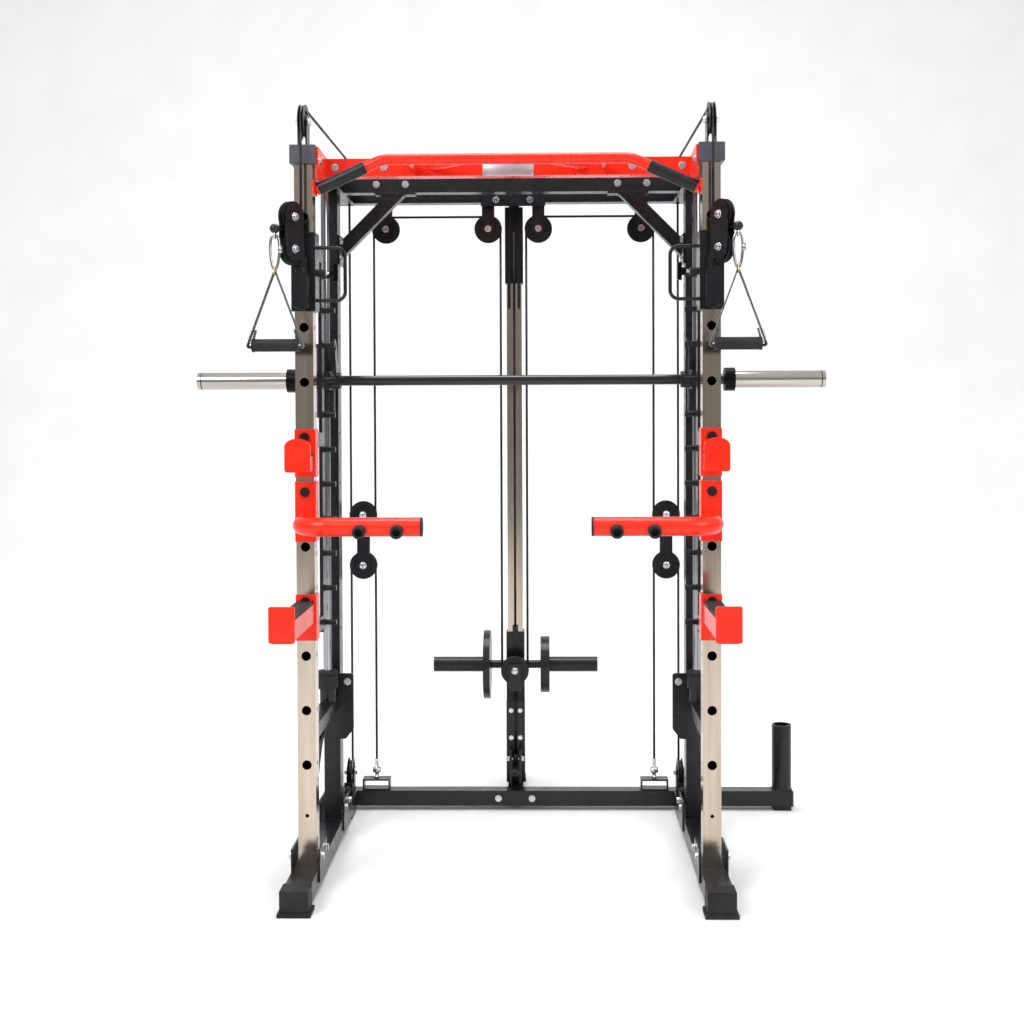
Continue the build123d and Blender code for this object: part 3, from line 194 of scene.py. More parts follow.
def bands(tree, scale, direction, turn=(0, 0, 0)):
    texture = tree.nodes.new("ShaderNodeTexWave")
    texture.bands_direction = direction
    texture.inputs["Scale"].default_value = scale
    tree.links.new(object_point(tree, (1, 1, 1), turn), texture.inputs["Vector"])
    return texture.outputs["Fac"]


def woven(name, dark, light):
    """Webbing: yarns that cross at a slant, with a little fuzz."""
    material, tree, shader = new_material(name)
    weave = maths(tree, "MULTIPLY", bands(tree, 330.0, "Y"), bands(tree, 330.0, "Z", (0, 0.6, 0)))
    tree.links.new(ramp(tree, weave, [(0.05, dark), (0.6, light)]), shader.inputs["Base Color"])
    tree.links.new(ramp(tree, noise(tree, 160.0), [(0.3, 0.75), (0.7, 0.95)]), shader.inputs["Roughness"])
    relief(tree, shader, weave, 0.8, 0.0006)
    shader.inputs["Sheen Weight"].default_value = 0.4
    return material


BLACK = coat("black_powder_coat", (0.0035, 0.004, 0.0052), (0.009, 0.010, 0.013), (0.24, 0.38),
             coating=0.12)
CAP = coat("moulded_cap", (0.050, 0.052, 0.064), (0.080, 0.082, 0.098), (0.42, 0.60), 500.0, 0.002)
VINYL = coat("bar_grip_vinyl", (0.006, 0.006, 0.008), (0.014, 0.014, 0.017), (0.30, 0.46), 500.0, 0.002,
             depth=0.2)
RED = coat("red_powder_coat", (0.72, 0.012, 0.002), (0.88, 0.026, 0.004), (0.24, 0.38), coating=0.12)
RUBBER = coat("black_rubber", (0.007, 0.007, 0.009), (0.020, 0.020, 0.024), (0.50, 0.72), 420.0, 0.002,
              depth=0.4)
PLASTIC = coat("pulley_nylon", (0.003, 0.003, 0.004), (0.009, 0.009, 0.012), (0.26, 0.42), 600.0, 0.0008)
CABLE = coat("cable_jacket", (0.002, 0.002, 0.002), (0.006, 0.006, 0.006), (0.30, 0.45), 700.0, 0.0)
GRIP = coat("grip_rubber", (0.006, 0.006, 0.008), (0.020, 0.020, 0.023), (0.38, 0.58), 500.0, 0.0006,
            depth=0.4)
OXIDE = coat("black_oxide", (0.004, 0.004, 0.006), (0.010, 0.010, 0.014), (0.12, 0.24), 700.0, coating=0.4)
THREAD = coat("stitching_thread", (0.10, 0.10, 0.10), (0.20, 0.20, 0.20), (0.7, 0.9), 900.0, 0.0)
UPRIGHT_CHROME = polished("warm_chrome", (0.42, 0.35, 0.285), (0.58, 0.49, 0.405), (0.10, 0.19), (8, 8, 0.3))
CHROME = polished("chrome", (0.22, 0.225, 0.245), (0.42, 0.425, 0.45), (0.08, 0.16), (8, 8, 0.3))
STEEL = polished("sleeve_chrome", (0.36, 0.335, 0.305), (0.56, 0.53, 0.49), (0.09, 0.17), (0.3, 8, 8))
ZINC = polished("zinc_plate", (0.50, 0.51, 0.54), (0.72, 0.73, 0.76), (0.18, 0.32), (1, 1, 1), 0.0008)
PIN = polished("pop_pin_steel", (0.50, 0.51, 0.54), (0.72, 0.73, 0.76), (0.18, 0.32), (1, 1, 1), 0.0008)
LINK = polished("bright_link", (0.30, 0.31, 0.33), (0.50, 0.51, 0.54), (0.08, 0.16), (1, 1, 1), 0.0008)
BRASS = polished("brass_ring", (0.42, 0.32, 0.17), (0.64, 0.51, 0.30), (0.22, 0.38), (1, 1, 1), 0.0008)
BRUSHED = polished("brushed_plate", (0.40, 0.41, 0.44), (0.54, 0.55, 0.59), (0.30, 0.46), (0.3, 6, 6), 0.0006)
WEBBING = woven("webbing", (0.010, 0.010, 0.011), (0.075, 0.075, 0.08))

FINISHES = {"black_coat": BLACK, "red_coat": RED, "chrome": CHROME, "zinc": ZINC, "rubber": RUBBER,
            "pulley_plastic": PLASTIC, "cable_jacket": CABLE, "webbing": WEBBING, "grip_rubber": GRIP}
SPECIAL = {"smith_bar": OXIDE, "bar_sleeve_left": STEEL, "bar_sleeve_right": STEEL,
           "front_uprights": UPRIGHT_CHROME, "tower_post": UPRIGHT_CHROME,
           "pull_up_grips": VINYL, "pop_pin_left": PIN, "pop_pin_right": PIN}


# Inside the uprights, past this skin of wall, the chrome is painted near black as shade.
WALL_SKIN = 0.0015         # how much of the tube's wall keeps its chrome
SLEEVE_FLANGE = (0.62, 0.0402)      # middle and half length, along X
PIN_KNOB = (0.476, 0.0121)


def darken_places():
    """Painted shade on the insides of the uprights, and the black flanges and knobs of bright nodes."""
    low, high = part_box("front_uprights")
    tree = UPRIGHT_CHROME.node_tree
    across_tube = maths(tree, "MAXIMUM", distance_from(tree, "X", high.x - TUBE_HALF),
                        distance_from(tree, "Y", (low.y + high.y) / 2))
    # painted shade: the inside of each upright tube is near black and dull, so its holes look dark
    darken(UPRIGHT_CHROME, across_tube, TUBE_HALF - WALL_SKIN, 0.003, 0.8)
    for material, (middle, reach), level in ((STEEL, SLEEVE_FLANGE, 0.010), (PIN, PIN_KNOB, 0.008)):
        darken(material, distance_from(material.node_tree, "X", middle), reach, level, 0.35)


def paint_nodes():
    """Every carried-over CAD node takes its slot's finish, or a special one."""
    for part in frame["record"]["subparts"]:
        name = part["node"]
        material = SPECIAL.get(name, FINISHES[part["material_slot"]])
        nodes[name].data.materials.clear()
        nodes[name].data.materials.append(material)


# ---- stage --------------------------------------------------------------------------------
FLOOR_FRONT, FLOOR_REAR, COVE, FLOOR_HALF, WALL_TOP = -9.0, 3.2, 1.6, 12.0, 9.0


def make_stage():
    """A pale floor that curves up into a backdrop."""
    build = bmesh.new()
    profile = [(FLOOR_FRONT, 0.0), (FLOOR_REAR, 0.0)]
    for step in range(1, 13):
        angle = -math.pi / 2 + step * math.pi / 24
        profile.append((FLOOR_REAR + COVE * math.cos(angle), COVE + COVE * math.sin(angle)))
    profile.append((FLOOR_REAR + COVE, WALL_TOP))
    rows = [[build.verts.new((x, y, z)) for x in (-FLOOR_HALF, FLOOR_HALF)] for y, z in profile]
    for low, high in zip(rows, rows[1:]):
        build.faces.new((low[0], low[1], high[1], high[0]))
    mesh = bpy.data.meshes.new("floor")
    build.to_mesh(mesh)
    build.free()
    for face in mesh.polygons:
        face.use_smooth = True
    floor = bpy.data.objects.new("floor", mesh)
    bpy.context.scene.collection.objects.link(floor)
    material, tree, shader = new_material("studio_paper")
    tree.links.new(ramp(tree, noise(tree, 3.0), [(0.3, 0.84), (0.7, 0.88)]), shader.inputs["Base Color"])
    shader.inputs["Roughness"].default_value = 0.9
    shader.inputs["Specular IOR Level"].default_value = 0.1
    floor.data.materials.append(material)


LAMPS = {"key": ((-3.0, -4.2, 4.8), 2.6, 190), "fill": ((3.6, -3.8, 3.4), 2.6, 90),
         "top": ((0.0, 0.2, 5.4), 2.4, 170)}       # place, size, watts
LAMP_TARGET = Vector((0, 0, 1.0))


def make_light():
    """Soft daylight that is dimmer near the horizon, and three large lamps."""
    world = bpy.data.worlds.new("studio")
    world.use_nodes = True
    tree = world.node_tree
    coords = tree.nodes.new("ShaderNodeTexCoord")
    split = tree.nodes.new("ShaderNodeSeparateXYZ")
    tree.links.new(coords.outputs["Generated"], split.inputs["Vector"])
    tree.links.new(ramp(tree, split.outputs["Z"], [(0.02, 0.40), (0.55, 1.0)]),
                   tree.nodes["Background"].inputs["Color"])
    tree.nodes["Background"].inputs["Strength"].default_value = 0.80
    bpy.context.scene.world = world
    for name, (place, size, power) in LAMPS.items():
        light = bpy.data.lights.new(name, "AREA")
        light.shape = "SQUARE"
        light.size = size
        light.energy = power
        lamp = bpy.data.objects.new(name, light)
        bpy.context.scene.collection.objects.link(lamp)
        lamp.location = place
        lamp.rotation_euler = (LAMP_TARGET - Vector(place)).to_track_quat("-Z", "Y").to_euler()
    bpy.context.scene.view_settings.view_transform = "Standard"


# ---- mesh helpers -------------------------------------------------------------------------
def to_object(name, build, material, body=None, smooth=True):
    """The finished mesh as a piece on a body; body=None is for a piece that blends."""
    bmesh.ops.recalc_face_normals(build, faces=build.faces)
    mesh = bpy.data.meshes.new(name)
    build.to_mesh(mesh)
    build.free()
    for face in mesh.polygons:
        face.use_smooth = smooth
    piece = bpy.data.objects.new(name, mesh)
    bpy.context.scene.collection.objects.link(piece)
    piece.data.materials.append(material)
    if body:
        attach(piece, body)
    return piece


def skin(build, rings, closed=False):
    """Faces between rings of vertices, with a face over each open end."""
    made = [[build.verts.new(point) for point in ring] for ring in rings]
    pairs = list(zip(made, made[1:]))
    if closed:
        pairs.append((made[-1], made[0]))
    for low, high in pairs:
        for k in range(len(low)):
            after = (k + 1) % len(low)
            build.faces.new((low[k], low[after], high[after], high[k]))
    if not closed:
        build.faces.new(list(reversed(made[0])))
        build.faces.new(made[-1])


def tube(build, points, radius, sides=10, closed=False, ripple=0.0):
    """A round bar along points; ripple swells every second ring, as a weld bead does."""
    points = [Vector(point) for point in points]
    count = len(points)
    rings = []
    side = None
    for index, point in enumerate(points):
        before = points[index - 1] if closed or index else point
        after = points[(index + 1) % count] if closed or index < count - 1 else point
        along = (after - before).normalized()
        if side is None:
            side = along.orthogonal().normalized()
        side = (side - along * side.dot(along)).normalized()
        other = along.cross(side)
        reach = radius * (1 + ripple * (index % 2))
        rings.append([point + reach * (side * math.cos(turn) + other * math.sin(turn))
                      for turn in (2 * math.pi * k / sides for k in range(sides))])
    skin(build, rings, closed)


def lathe(build, centre, axis, profile, steps=48):
    """A turned shape: (distance along the axis, radius) from end to end."""
    axis = Vector(axis).normalized()
    side = axis.orthogonal().normalized()
    other = axis.cross(side)
    skin(build, [[Vector(centre) + axis * along + radius * (side * math.cos(turn) + other * math.sin(turn))
                  for turn in (2 * math.pi * k / steps for k in range(steps))]
                 for along, radius in profile])


def rounded_box(build, low, high, edge, segments=3):
    """A box with every edge rounded."""
    low, high = Vector(low), Vector(high)
    size = high - low
    place = Matrix.Translation((low + high) / 2) @ Matrix.Diagonal((*size, 1))
    made = bmesh.ops.create_cube(build, size=1.0, matrix=place)["verts"]
    edges = list({line for vertex in made for line in vertex.link_edges})
    bmesh.ops.bevel(build, geom=edges, offset=edge, segments=segments, profile=0.5, affect="EDGES")


def along_edges(corners, step):
    """Points about a step apart round a closed outline."""
    points = []
    for start, end in zip(corners, corners[1:] + corners[:1]):
        start, end = Vector(start), Vector(end)
        parts = max(2, round((end - start).length / step / 2) * 2)
        points += [start.lerp(end, k / parts) for k in range(parts)]
    return points


def circle(centre, axis, radius, count):
    axis = Vector(axis).normalized()
    side = axis.orthogonal().normalized()
    other = axis.cross(side)
    return [Vector(centre) + radius * (side * math.cos(turn) + other * math.sin(turn))
            for turn in (2 * math.pi * k / count for k in range(count))]


# ---- straight cables between the frame and the moving bodies ------------------------------
STRAND_SIDES = 16


def strand(name, foot, head, radius):
    """A straight run of cable between the frame and a moving body."""
    build = bmesh.new()
    tube(build, (foot, head), radius, STRAND_SIDES)
    piece = to_object(name, build, CABLE)
    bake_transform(piece)
    return piece


def islands(node):
    """The separate solids of a CAD node, each as its lowest and highest corner."""
    mesh = nodes[node].data
    parent = list(range(len(mesh.vertices)))

    def root(index):
        while parent[index] != index:
            parent[index] = parent[parent[index]]
            index = parent[index]
        return index

    merged = {}
    for vertex in mesh.vertices:
        key = tuple(round(value, 5) for value in vertex.co)
        if key in merged:
            parent[root(vertex.index)] = root(merged[key])
        merged[key] = vertex.index
    for edge in mesh.edges:
        parent[root(edge.vertices[0])] = root(edge.vertices[1])
    corners = {}
    for vertex in mesh.vertices:
        low, high = corners.setdefault(root(vertex.index), ([9.0] * 3, [-9.0] * 3))
        for axis in range(3):
            low[axis] = min(low[axis], vertex.co[axis])
            high[axis] = max(high[axis], vertex.co[axis])
    return sorted(((Vector(low), Vector(high)) for low, high in corners.values()),
                  key=lambda pair: (round(pair[0].x, 3), round(pair[0].y, 3), pair[0].z))


def add_strands():
    """One straight cable strand for each straight solid of the CAD strand nodes."""
    ends = {"trolley_strand_left": "foot", "trolley_strand_right": "foot",
            "upper_falls": "foot", "lower_falls": "head", "carriage_falls": "foot"}
    for node, moving_end in ends.items():
        for index, (low, high) in enumerate(islands(node)):
            middle = (low + high) / 2
            piece = strand(f"cable_{node}_{index + 1}", (middle.x, middle.y, low.z),
                           (middle.x, middle.y, high.z), (high.x - low.x) / 2)
            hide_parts(node)


# ---- handles ------------------------------------------------------------------------------
STRAP_W, STRAP_T = 0.024, 0.0022
SPIGOT_R = 0.006
RING_WIRE = 0.0025
LINK_WIRE = 0.0036
GRIP_HALF = 0.062


def arc(centre, radius, start, end, count=12):
    """Points on an arc in the XZ plane, angles in degrees from +X towards +Z."""
    return [(centre[0] + radius * math.cos(math.radians(start + (end - start) * k / count)),
             centre[1] + radius * math.sin(math.radians(start + (end - start) * k / count)))
            for k in range(count + 1)]


def strap_path(bar, spigot, lean):
    """Half of the strap in XZ, from its sewn tail round the spigot and up to the top of the bar."""
    wrap = SPIGOT_R + STRAP_T / 2 + 0.0006
    over = RING_WIRE + STRAP_T / 2 + 0.0004
    tail_foot = (spigot[0] - wrap * math.cos(lean), spigot[1] + wrap * math.sin(lean))
    rise = 0.040
    tail = [(tail_foot[0] - rise * (1 - k / 6) * math.sin(lean) + 0.0045 * (1 - k / 6) ** 0.5,
             tail_foot[1] + rise * (1 - k / 6) * math.cos(lean)) for k in range(6)]
    degrees = math.degrees(lean)
    return tail + arc(spigot, wrap, 180 - degrees, 360 - degrees + 4, 20) + arc(bar, over, 8 - degrees, 90, 8)


def ribbon(build, path, y, width, thickness):
    """A flat band with soft edges along a path in XZ."""
    rings = []
    half, bulge = thickness / 2, width / 2
    section = [(-bulge + 0.001, -half), (bulge - 0.001, -half), (bulge, 0), (bulge - 0.001, half),
               (-bulge + 0.001, half), (-bulge, 0)]
    for index, point in enumerate(path):
        before, after = path[max(index - 1, 0)], path[min(index + 1, len(path) - 1)]
        run = Vector((after[0] - before[0], 0, after[1] - before[1])).normalized()
        out = Vector((-run.z, 0, run.x))
        rings.append([Vector((point[0], y + across, point[1])) + out * depth for across, depth in section])
    skin(build, rings)


def add_handle(side):
    """Carabiner, D-ring, sewn webbing and knurled grip of one cable handle."""
    link_low, link_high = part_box(f"carabiner_{side}")
    grip_low, grip_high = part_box(f"handle_grip_{side}")
    middle = (link_low + link_high) / 2
    grip = (grip_low + grip_high) / 2
    wire = LINK_WIRE
    # gourd-shaped spring link with a gate nut
    build = bmesh.new()
    top, foot = link_high.z - wire, link_low.z + wire
    outline = []
    for k in range(64):
        turn = 2 * math.pi * k / 64
        share = (1 + math.sin(turn)) / 2
        outline.append((middle.x + math.copysign(abs(math.cos(turn)) ** 0.72, math.cos(turn))
                        * (0.0082 + 0.0062 * share ** 0.8),
                        middle.y, foot + (top - foot) * share))
    tube(build, outline, wire, 14, closed=True)
    link = to_object(f"spring_link_{side}", build, LINK, f"handle_{side}")
    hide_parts(f"carabiner_{side}")
    build = bmesh.new()
    nut_x = middle.x + 0.0142
    lathe(build, (nut_x, middle.y, middle.z - 0.002), (0.03, 0, 1),
          [(0, 0.0042), (0.0008, 0.0056), (0.019, 0.0056), (0.0198, 0.0042)], 24)
    to_object(f"gate_nut_{side}", build, LINK, f"handle_{side}")
    # eye under the ball stop
    build = bmesh.new()
    tube(build, circle((middle.x, middle.y, link_high.z - wire), (1, 0, 0), 0.0085, 28), RING_WIRE,
         closed=True)
    to_object(f"stop_eye_{side}", build, ZINC, f"swivel_{side}")
    # D-ring: its bar runs from front to back under the link
    bar_z = link_low.z - 0.008
    crown = link_low.z + 2 * wire + RING_WIRE + 0.0006
    build = bmesh.new()
    corners = [(middle.x, middle.y + y, z) for y, z in
               ((-0.0145, bar_z), (0.0145, bar_z), (0.0150, bar_z + 0.004), (0.0065, crown - 0.003),
                (0.0040, crown), (-0.0040, crown), (-0.0065, crown - 0.003), (-0.0150, bar_z + 0.004))]
    tube(build, corners, RING_WIRE, 12, closed=True)
    to_object(f"d_ring_{side}", build, BRASS, f"handle_{side}")
    # one band of webbing from spigot to spigot over the D-ring's bar
    reach = (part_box(f"handle_strap_{side}")[1].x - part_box(f"handle_strap_{side}")[0].x) / 2 - 0.004
    spigot = (reach, grip.z)
    lean = math.atan2(reach - 0.004, bar_z - grip.z)
    half = strap_path((0.0, bar_z), spigot, lean)
    whole = [(middle.x + x, z) for x, z in half] + [(middle.x - x, z) for x, z in reversed(half[:-1])]
    build = bmesh.new()
    ribbon(build, whole, middle.y, STRAP_W, STRAP_T)
    strap = to_object(f"webbing_{side}", build, WEBBING, f"handle_{side}")
    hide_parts(f"handle_strap_{side}")
    # lines of stitches through both layers above each spigot
    build = bmesh.new()
    for end in (-1, 1):
        along = Vector((-end * math.sin(lean), 0, math.cos(lean)))
        outward = Vector((end * math.cos(lean), 0, math.sin(lean)))
        base = Vector((middle.x + end * reach, middle.y, grip.z)) + outward * 0.0092
        for row in (-0.008, 0.008):
            for k in range(6):
                start = base + along * (0.012 + 0.0046 * k) + Vector((0, row, 0))
                tube(build, (start, start + along * 0.0032), 0.0006, 6)
    to_object(f"stitches_{side}", build, THREAD, f"handle_{side}")
    # knurled grip with flanged ends on a steel spindle
    build = bmesh.new()
    half_length, radius = GRIP_HALF, (grip_high.z - grip_low.z) / 2
    around, lengthwise = 120, 110
    rings = []
    for row in range(lengthwise + 1):
        along = -half_length + 0.005 + (2 * half_length - 0.010) * row / lengthwise
        ring = []
        for k in range(around):
            turn = 2 * math.pi * k / around
            knurl = math.cos(20 * turn + 900 * along) * math.cos(20 * turn - 900 * along)
            depth = radius - 0.0016 + 0.0007 * knurl
            ring.append((grip.x + along, grip.y + depth * math.cos(turn), grip.z + depth * math.sin(turn)))
        rings.append(ring)
    skin(build, rings)
    for end in (-1, 1):
        lathe(build, (grip.x + end * (half_length - 0.006), grip.y, grip.z), (end, 0, 0),
              [(0, radius - 0.002), (0.0005, radius), (0.005, radius), (0.006, radius - 0.0015)])
    piece = to_object(f"knurled_grip_{side}", build, GRIP, f"grip_{side}")
    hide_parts(f"handle_grip_{side}")
    build = bmesh.new()
    tip = (grip_high.x - grip_low.x) / 2
    lathe(build, (grip.x, grip.y, grip.z), (1, 0, 0),
          [(-tip, 0.0035), (-tip + 0.001, 0.005), (-tip + 0.004, SPIGOT_R - 0.0001),
           (tip - 0.004, SPIGOT_R - 0.0001), (tip - 0.001, 0.005), (tip, 0.0035)], 24)
    to_object(f"grip_spindle_{side}", build, ZINC, f"grip_{side}")


# ---- trim that the CAD leaves plain -------------------------------------------------------
BEAD, BEAD_STEP = 0.0024, 0.0028
PLATE = 0.005              # attachment plates, in front of the uprights
HEADER_FACE_Y = -0.251
HOOK_SPAN_Z, SPOTTER_SPAN_Z = (1.152, 1.192), (0.738, 0.788)
DIP_Z, DIP_R = 1.007, 0.0255
STUB_X, STUB_R = 0.267, 0.0125
BRACE_SPAN_Y = (0.123, 0.163)
BRACE_HEAD_Z, BRACE_HEAD_X = 1.982, (0.332, 0.388)
BRACE_FOOT_X, BRACE_FOOT_Z = 0.524, (1.790, 1.846)
RAIL_IN, RAIL_BEAD_Y = 0.017, 0.0698
PEG_Z, PEG_PITCH, PEG_STEPS, PEG_R = 1.403, 0.1, range(-7, 4), 0.008
HOLDER_CENTRE, HOLDER_R = (0.874, 0.362, 0.067), 0.0315


def rectangle(axis, place, first, second):
    """Corners of a rectangle square to an axis; the other two axes give their spans in order."""
    corners = []
    for a, b in ((0, 0), (1, 0), (1, 1), (0, 1)):
        point = [first[a], second[b]]
        point.insert(axis, place)
        corners.append(point)
    return corners


def add_welds():
    """Rippled weld beads where tubes and plates meet."""
    low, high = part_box("front_uprights")
    upright_x, face_y = high.x - TUBE_HALF, low.y - PLATE
    spot_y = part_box("spotter_arms")[0].y + 0.006
    pull_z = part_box("pull_up_bar")[1].z - 0.015
    rail_low, rail_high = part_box("catch_rails")
    rail_y = (rail_low.y + rail_high.y) / 2 + RAIL_BEAD_Y
    red, black = bmesh.new(), bmesh.new()
    outlines = []
    for side in (-1, 1):
        x = side * upright_x
        span = (x - TUBE_HALF, x + TUBE_HALF)
        head_span = sorted((side * BRACE_HEAD_X[0], side * BRACE_HEAD_X[1]))
        outlines += [(red, along_edges(rectangle(1, face_y, span, HOOK_SPAN_Z), BEAD_STEP)),
                     (red, along_edges(rectangle(1, face_y, span, SPOTTER_SPAN_Z), BEAD_STEP)),
                     (red, along_edges(rectangle(1, spot_y, span, SPOTTER_SPAN_Z), BEAD_STEP)),
                     (red, circle((x, face_y, DIP_Z), (0, 1, 0), DIP_R, 56)),
                     (red, circle((side * STUB_X, HEADER_FACE_Y, pull_z), (0, 1, 0), STUB_R, 28)),
                     (black, along_edges(rectangle(2, BRACE_HEAD_Z, head_span, BRACE_SPAN_Y), BEAD_STEP)),
                     (black, along_edges(rectangle(0, side * BRACE_FOOT_X, BRACE_SPAN_Y, BRACE_FOOT_Z),
                                         BEAD_STEP))]
        rail_x = side * (upright_x - RAIL_IN)
        outlines += [(black, circle((rail_x, rail_y, PEG_Z + PEG_PITCH * step), (1, 0, 0), PEG_R, 20))
                     for step in PEG_STEPS]
    outlines.append((black, circle(HOLDER_CENTRE, (0, 0, 1), HOLDER_R, 64)))
    for build, points in outlines:
        tube(build, points, BEAD, 8, closed=True, ripple=0.22)
    to_object("weld_beads_red", red, RED, "root")
    to_object("weld_beads_black", black, BLACK, "root")


GUSSET_ARC = (Vector((-0.342, 0.190)), Vector((-0.280, 0.336)), Vector((-0.068, 0.400)))
FLANGE_HALF_W, FLANGE_HALF_T, FLANGE_STEPS = 0.020, 0.002, 28


def add_gusset_flanges():
    """The flat flange on the arc, in YZ, of the curved edge of each side frame's gusset."""
    foot, bend, head = GUSSET_ARC
    first, second = (foot + bend) / 2, (bend + head) / 2
    run, rise = bend - foot, head - bend
    lean = (second - first).dot(rise) / (Vector((-run.y, run.x)).dot(rise))
    centre = first + Vector((-run.y, run.x)) * lean
    radius = (foot - centre).length
    start = math.atan2(foot.y - centre.y, foot.x - centre.x)
    end = math.atan2(head.y - centre.y, head.x - centre.x)
    turn = (end - start + math.pi) % (2 * math.pi) - math.pi
    upright_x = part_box("front_uprights")[1].x - TUBE_HALF
    for side, sign in SIDES.items():
        rings = []
        for step in range(FLANGE_STEPS + 1):
            angle = start + turn * step / FLANGE_STEPS
            out = Vector((0, math.cos(angle), math.sin(angle)))
            middle = Vector((sign * upright_x, centre.x, centre.y)) + out * radius
            rings.append([middle + Vector((across * FLANGE_HALF_W, 0, 0)) + out * deep * FLANGE_HALF_T
                          for across, deep in ((-1, -0.6), (-0.96, -1), (0.96, -1), (1, -0.6),
                                               (1, 0.6), (0.96, 1), (-0.96, 1), (-1, 0.6))])
        build = bmesh.new()
        skin(build, rings)
        to_object(f"gusset_flange_{side}", build, BLACK, "root")


CAP_LIP, CAP_OUT, CAP_EDGE = 0.0005, 0.0025, 0.0022
BEAM_HALF, CAP_DEPTH = 0.035, 0.010
BASE_Z = (0.015, 0.065)


def add_caps():
    """Moulded caps in the open-looking tube ends, and rings on the bar's sleeves."""
    build = bmesh.new()
    low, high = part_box("top_beams")
    reach = BEAM_HALF + CAP_LIP
    for x in (BEAM_HALF - high.x, high.x - BEAM_HALF):
        for near, far in ((low.y - CAP_OUT, low.y + CAP_DEPTH), (high.y - CAP_DEPTH, high.y + CAP_OUT)):
            rounded_box(build, (x - reach, near, low.z - CAP_LIP),
                        (x + reach, far, high.z + CAP_LIP), CAP_EDGE)
    low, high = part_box("rear_base_tube")
    foot, head = BASE_Z[0] - CAP_LIP, BASE_Z[1] + CAP_LIP
    for x in (low.x, high.x):
        rounded_box(build, (x - CAP_OUT, low.y - CAP_LIP, foot),
                    (x + CAP_OUT, low.y + 2 * TUBE_HALF + CAP_LIP, head), CAP_EDGE)
    reach = TUBE_HALF + CAP_LIP
    rounded_box(build, (-reach, high.y - 0.003, foot), (reach, high.y + CAP_OUT, head), CAP_EDGE)
    to_object("tube_end_caps", build, CAP, "root")
    for side, sign in SIDES.items():
        sleeve_low, sleeve_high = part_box(f"bar_sleeve_{side}")
        tip = sleeve_high.x if sign > 0 else sleeve_low.x
        centre = (tip, (sleeve_low.y + sleeve_high.y) / 2, (sleeve_low.z + sleeve_high.z) / 2)
        build = bmesh.new()
        lathe(build, centre, (sign, 0, 0),
              [(-0.013, 0.0249), (-0.0125, 0.0256), (-0.010, 0.0256), (-0.0095, 0.0249)])
        lathe(build, centre, (sign, 0, 0),
              [(-0.0005, 0.0200), (0.0006, 0.0196), (0.0008, 0.0185), (0.0008, 0.0010)])
        to_object(f"sleeve_ring_{side}", build, OXIDE, f"sleeve_{side}")


CHEEK_HALF = 0.013         # from a pulley's middle to the outside of its cheek plates
SWIVEL_DROP = 0.086        # between the swivel's two pulleys
BLOCK_INSET_Z, BLOCK_INSET_Y = 0.045, 0.008
ANCHOR_SPAN_X = (0.2, 0.5)
ANCHOR_FOOT_Z, ANCHOR_EYE_Z, ANCHOR_EYE_HALF = 0.101, 0.128, 0.0126


def hex_bolt(build, point, direction):
    """A hexagon head with a chamfered crown on a washer, over a plain one of the CAD."""
    lathe(build, point, direction,
          [(-0.0005, 0.0108), (0.0, 0.0114), (0.0018, 0.0114), (0.0024, 0.0106)], 40)
    lathe(build, point, direction,
          [(0.0020, 0.0088), (0.0023, 0.0096), (0.0078, 0.0096), (0.0088, 0.0078)], 6)


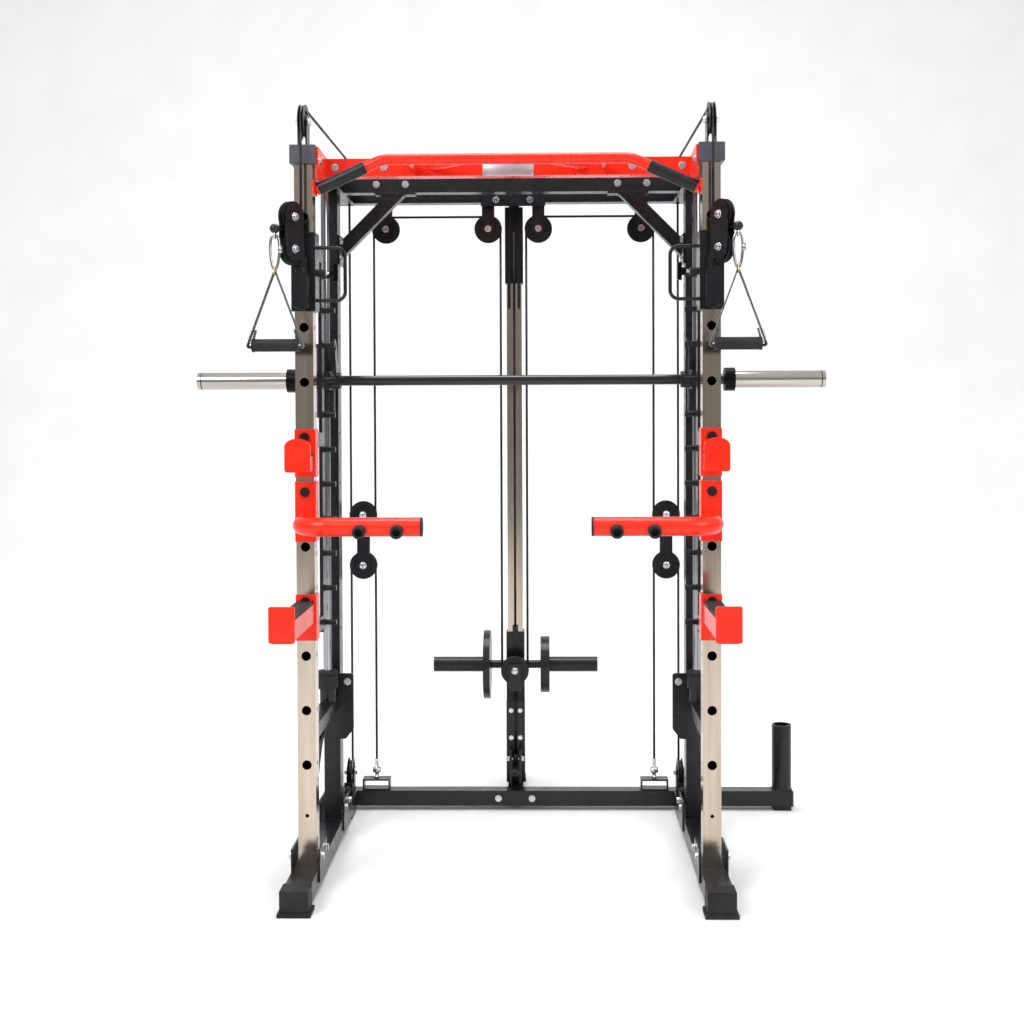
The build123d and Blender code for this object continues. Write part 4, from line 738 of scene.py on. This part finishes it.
def add_bolts():
    """Zinc-plated bolts on the moving pulleys' axles, and the anchors' eye bolts."""
    spins = {joint["name"]: joint for joint in frame["joints"]}
    for side in SIDES:
        spin = spins[f"swivel_wheel_spin_{side}"]
        across = Vector(spin["axis"]).normalized()
        build = bmesh.new()
        for drop in (0.0, SWIVEL_DROP):
            centre = Vector(spin["pos_m"]) - Vector((0, 0, drop))
            for way in (-1, 1):
                hex_bolt(build, centre + across * way * CHEEK_HALF, across * way)
        to_object(f"swivel_bolts_{side}", build, ZINC, f"swivel_{side}")
        low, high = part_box(f"floating_block_{side}")
        build = bmesh.new()
        for z in (low.z + BLOCK_INSET_Z, high.z - BLOCK_INSET_Z):
            hex_bolt(build, ((low.x + high.x) / 2, low.y + BLOCK_INSET_Y, z), (0, -1, 0))
            hex_bolt(build, ((low.x + high.x) / 2, high.y - BLOCK_INSET_Y, z), (0, 1, 0))
        to_object(f"block_bolts_{side}", build, ZINC, f"block_{side}")
    centre = Vector(spins["carriage_wheel_spin"]["pos_m"])
    build = bmesh.new()
    hex_bolt(build, centre - Vector((0, CHEEK_HALF, 0)), (0, -1, 0))
    to_object("carriage_bolt", build, ZINC, "weight")
    build = bmesh.new()
    for low, high in islands("lower_falls"):
        x, y = (low.x + high.x) / 2, (low.y + high.y) / 2
        if ANCHOR_SPAN_X[0] < abs(x) < ANCHOR_SPAN_X[1]:
            lathe(build, (x, y, ANCHOR_FOOT_Z), (0, 0, 1),
                  [(0, 0.0085), (0.006, 0.0085), (0.007, 0.0064), (0.017, 0.0064), (0.019, 0.0100),
                   (0.027, 0.0108), (0.035, 0.0100), (0.037, 0.0056), (0.0636, 0.0056)], 24)
            lathe(build, (x - ANCHOR_EYE_HALF, y, ANCHOR_EYE_Z), (1, 0, 0),
                  [(0, 0.0070), (0.002, 0.0094), (0.0232, 0.0094), (0.0252, 0.0070)], 24)
    to_object("anchor_bolts", build, ZINC, "root")


NAME_PLATE_Z, NAME_PLATE_T = 1.994, 0.0016
NAME_PLATE_HALF, RIM_IN, RIVET_X = (0.072, 0.020), 0.0025, 0.063


def add_name_plate():
    """A blank plate with a raised rim and two rivets, on the header."""
    half_x, half_z = NAME_PLATE_HALF
    front = HEADER_FACE_Y - NAME_PLATE_T
    build = bmesh.new()
    rounded_box(build, (-half_x, front, NAME_PLATE_Z - half_z),
                (half_x, HEADER_FACE_Y + 0.0004, NAME_PLATE_Z + half_z), 0.0007, 2)
    rim_x, rim_z = half_x - RIM_IN, half_z - RIM_IN
    rim = along_edges([(x * rim_x, front, NAME_PLATE_Z + z * rim_z)
                       for x, z in ((-1, -1), (1, -1), (1, 1), (-1, 1))], 0.01)
    tube(build, rim, 0.0008, 8, closed=True)
    for x in (-RIVET_X, RIVET_X):
        lathe(build, (x, HEADER_FACE_Y - 0.0014, NAME_PLATE_Z), (0, -1, 0),
              [(0, 0.0030), (0.0007, 0.0028), (0.0012, 0.0016)], 20)
    to_object("name_plate", build, BRUSHED, "root")


make_camera()
make_stage()
make_light()
darken_places()
paint_nodes()
add_strands()
for side_name in SIDES:
    add_handle(side_name)
add_welds()
add_gusset_flanges()
add_caps()
add_bolts()
add_name_plate()
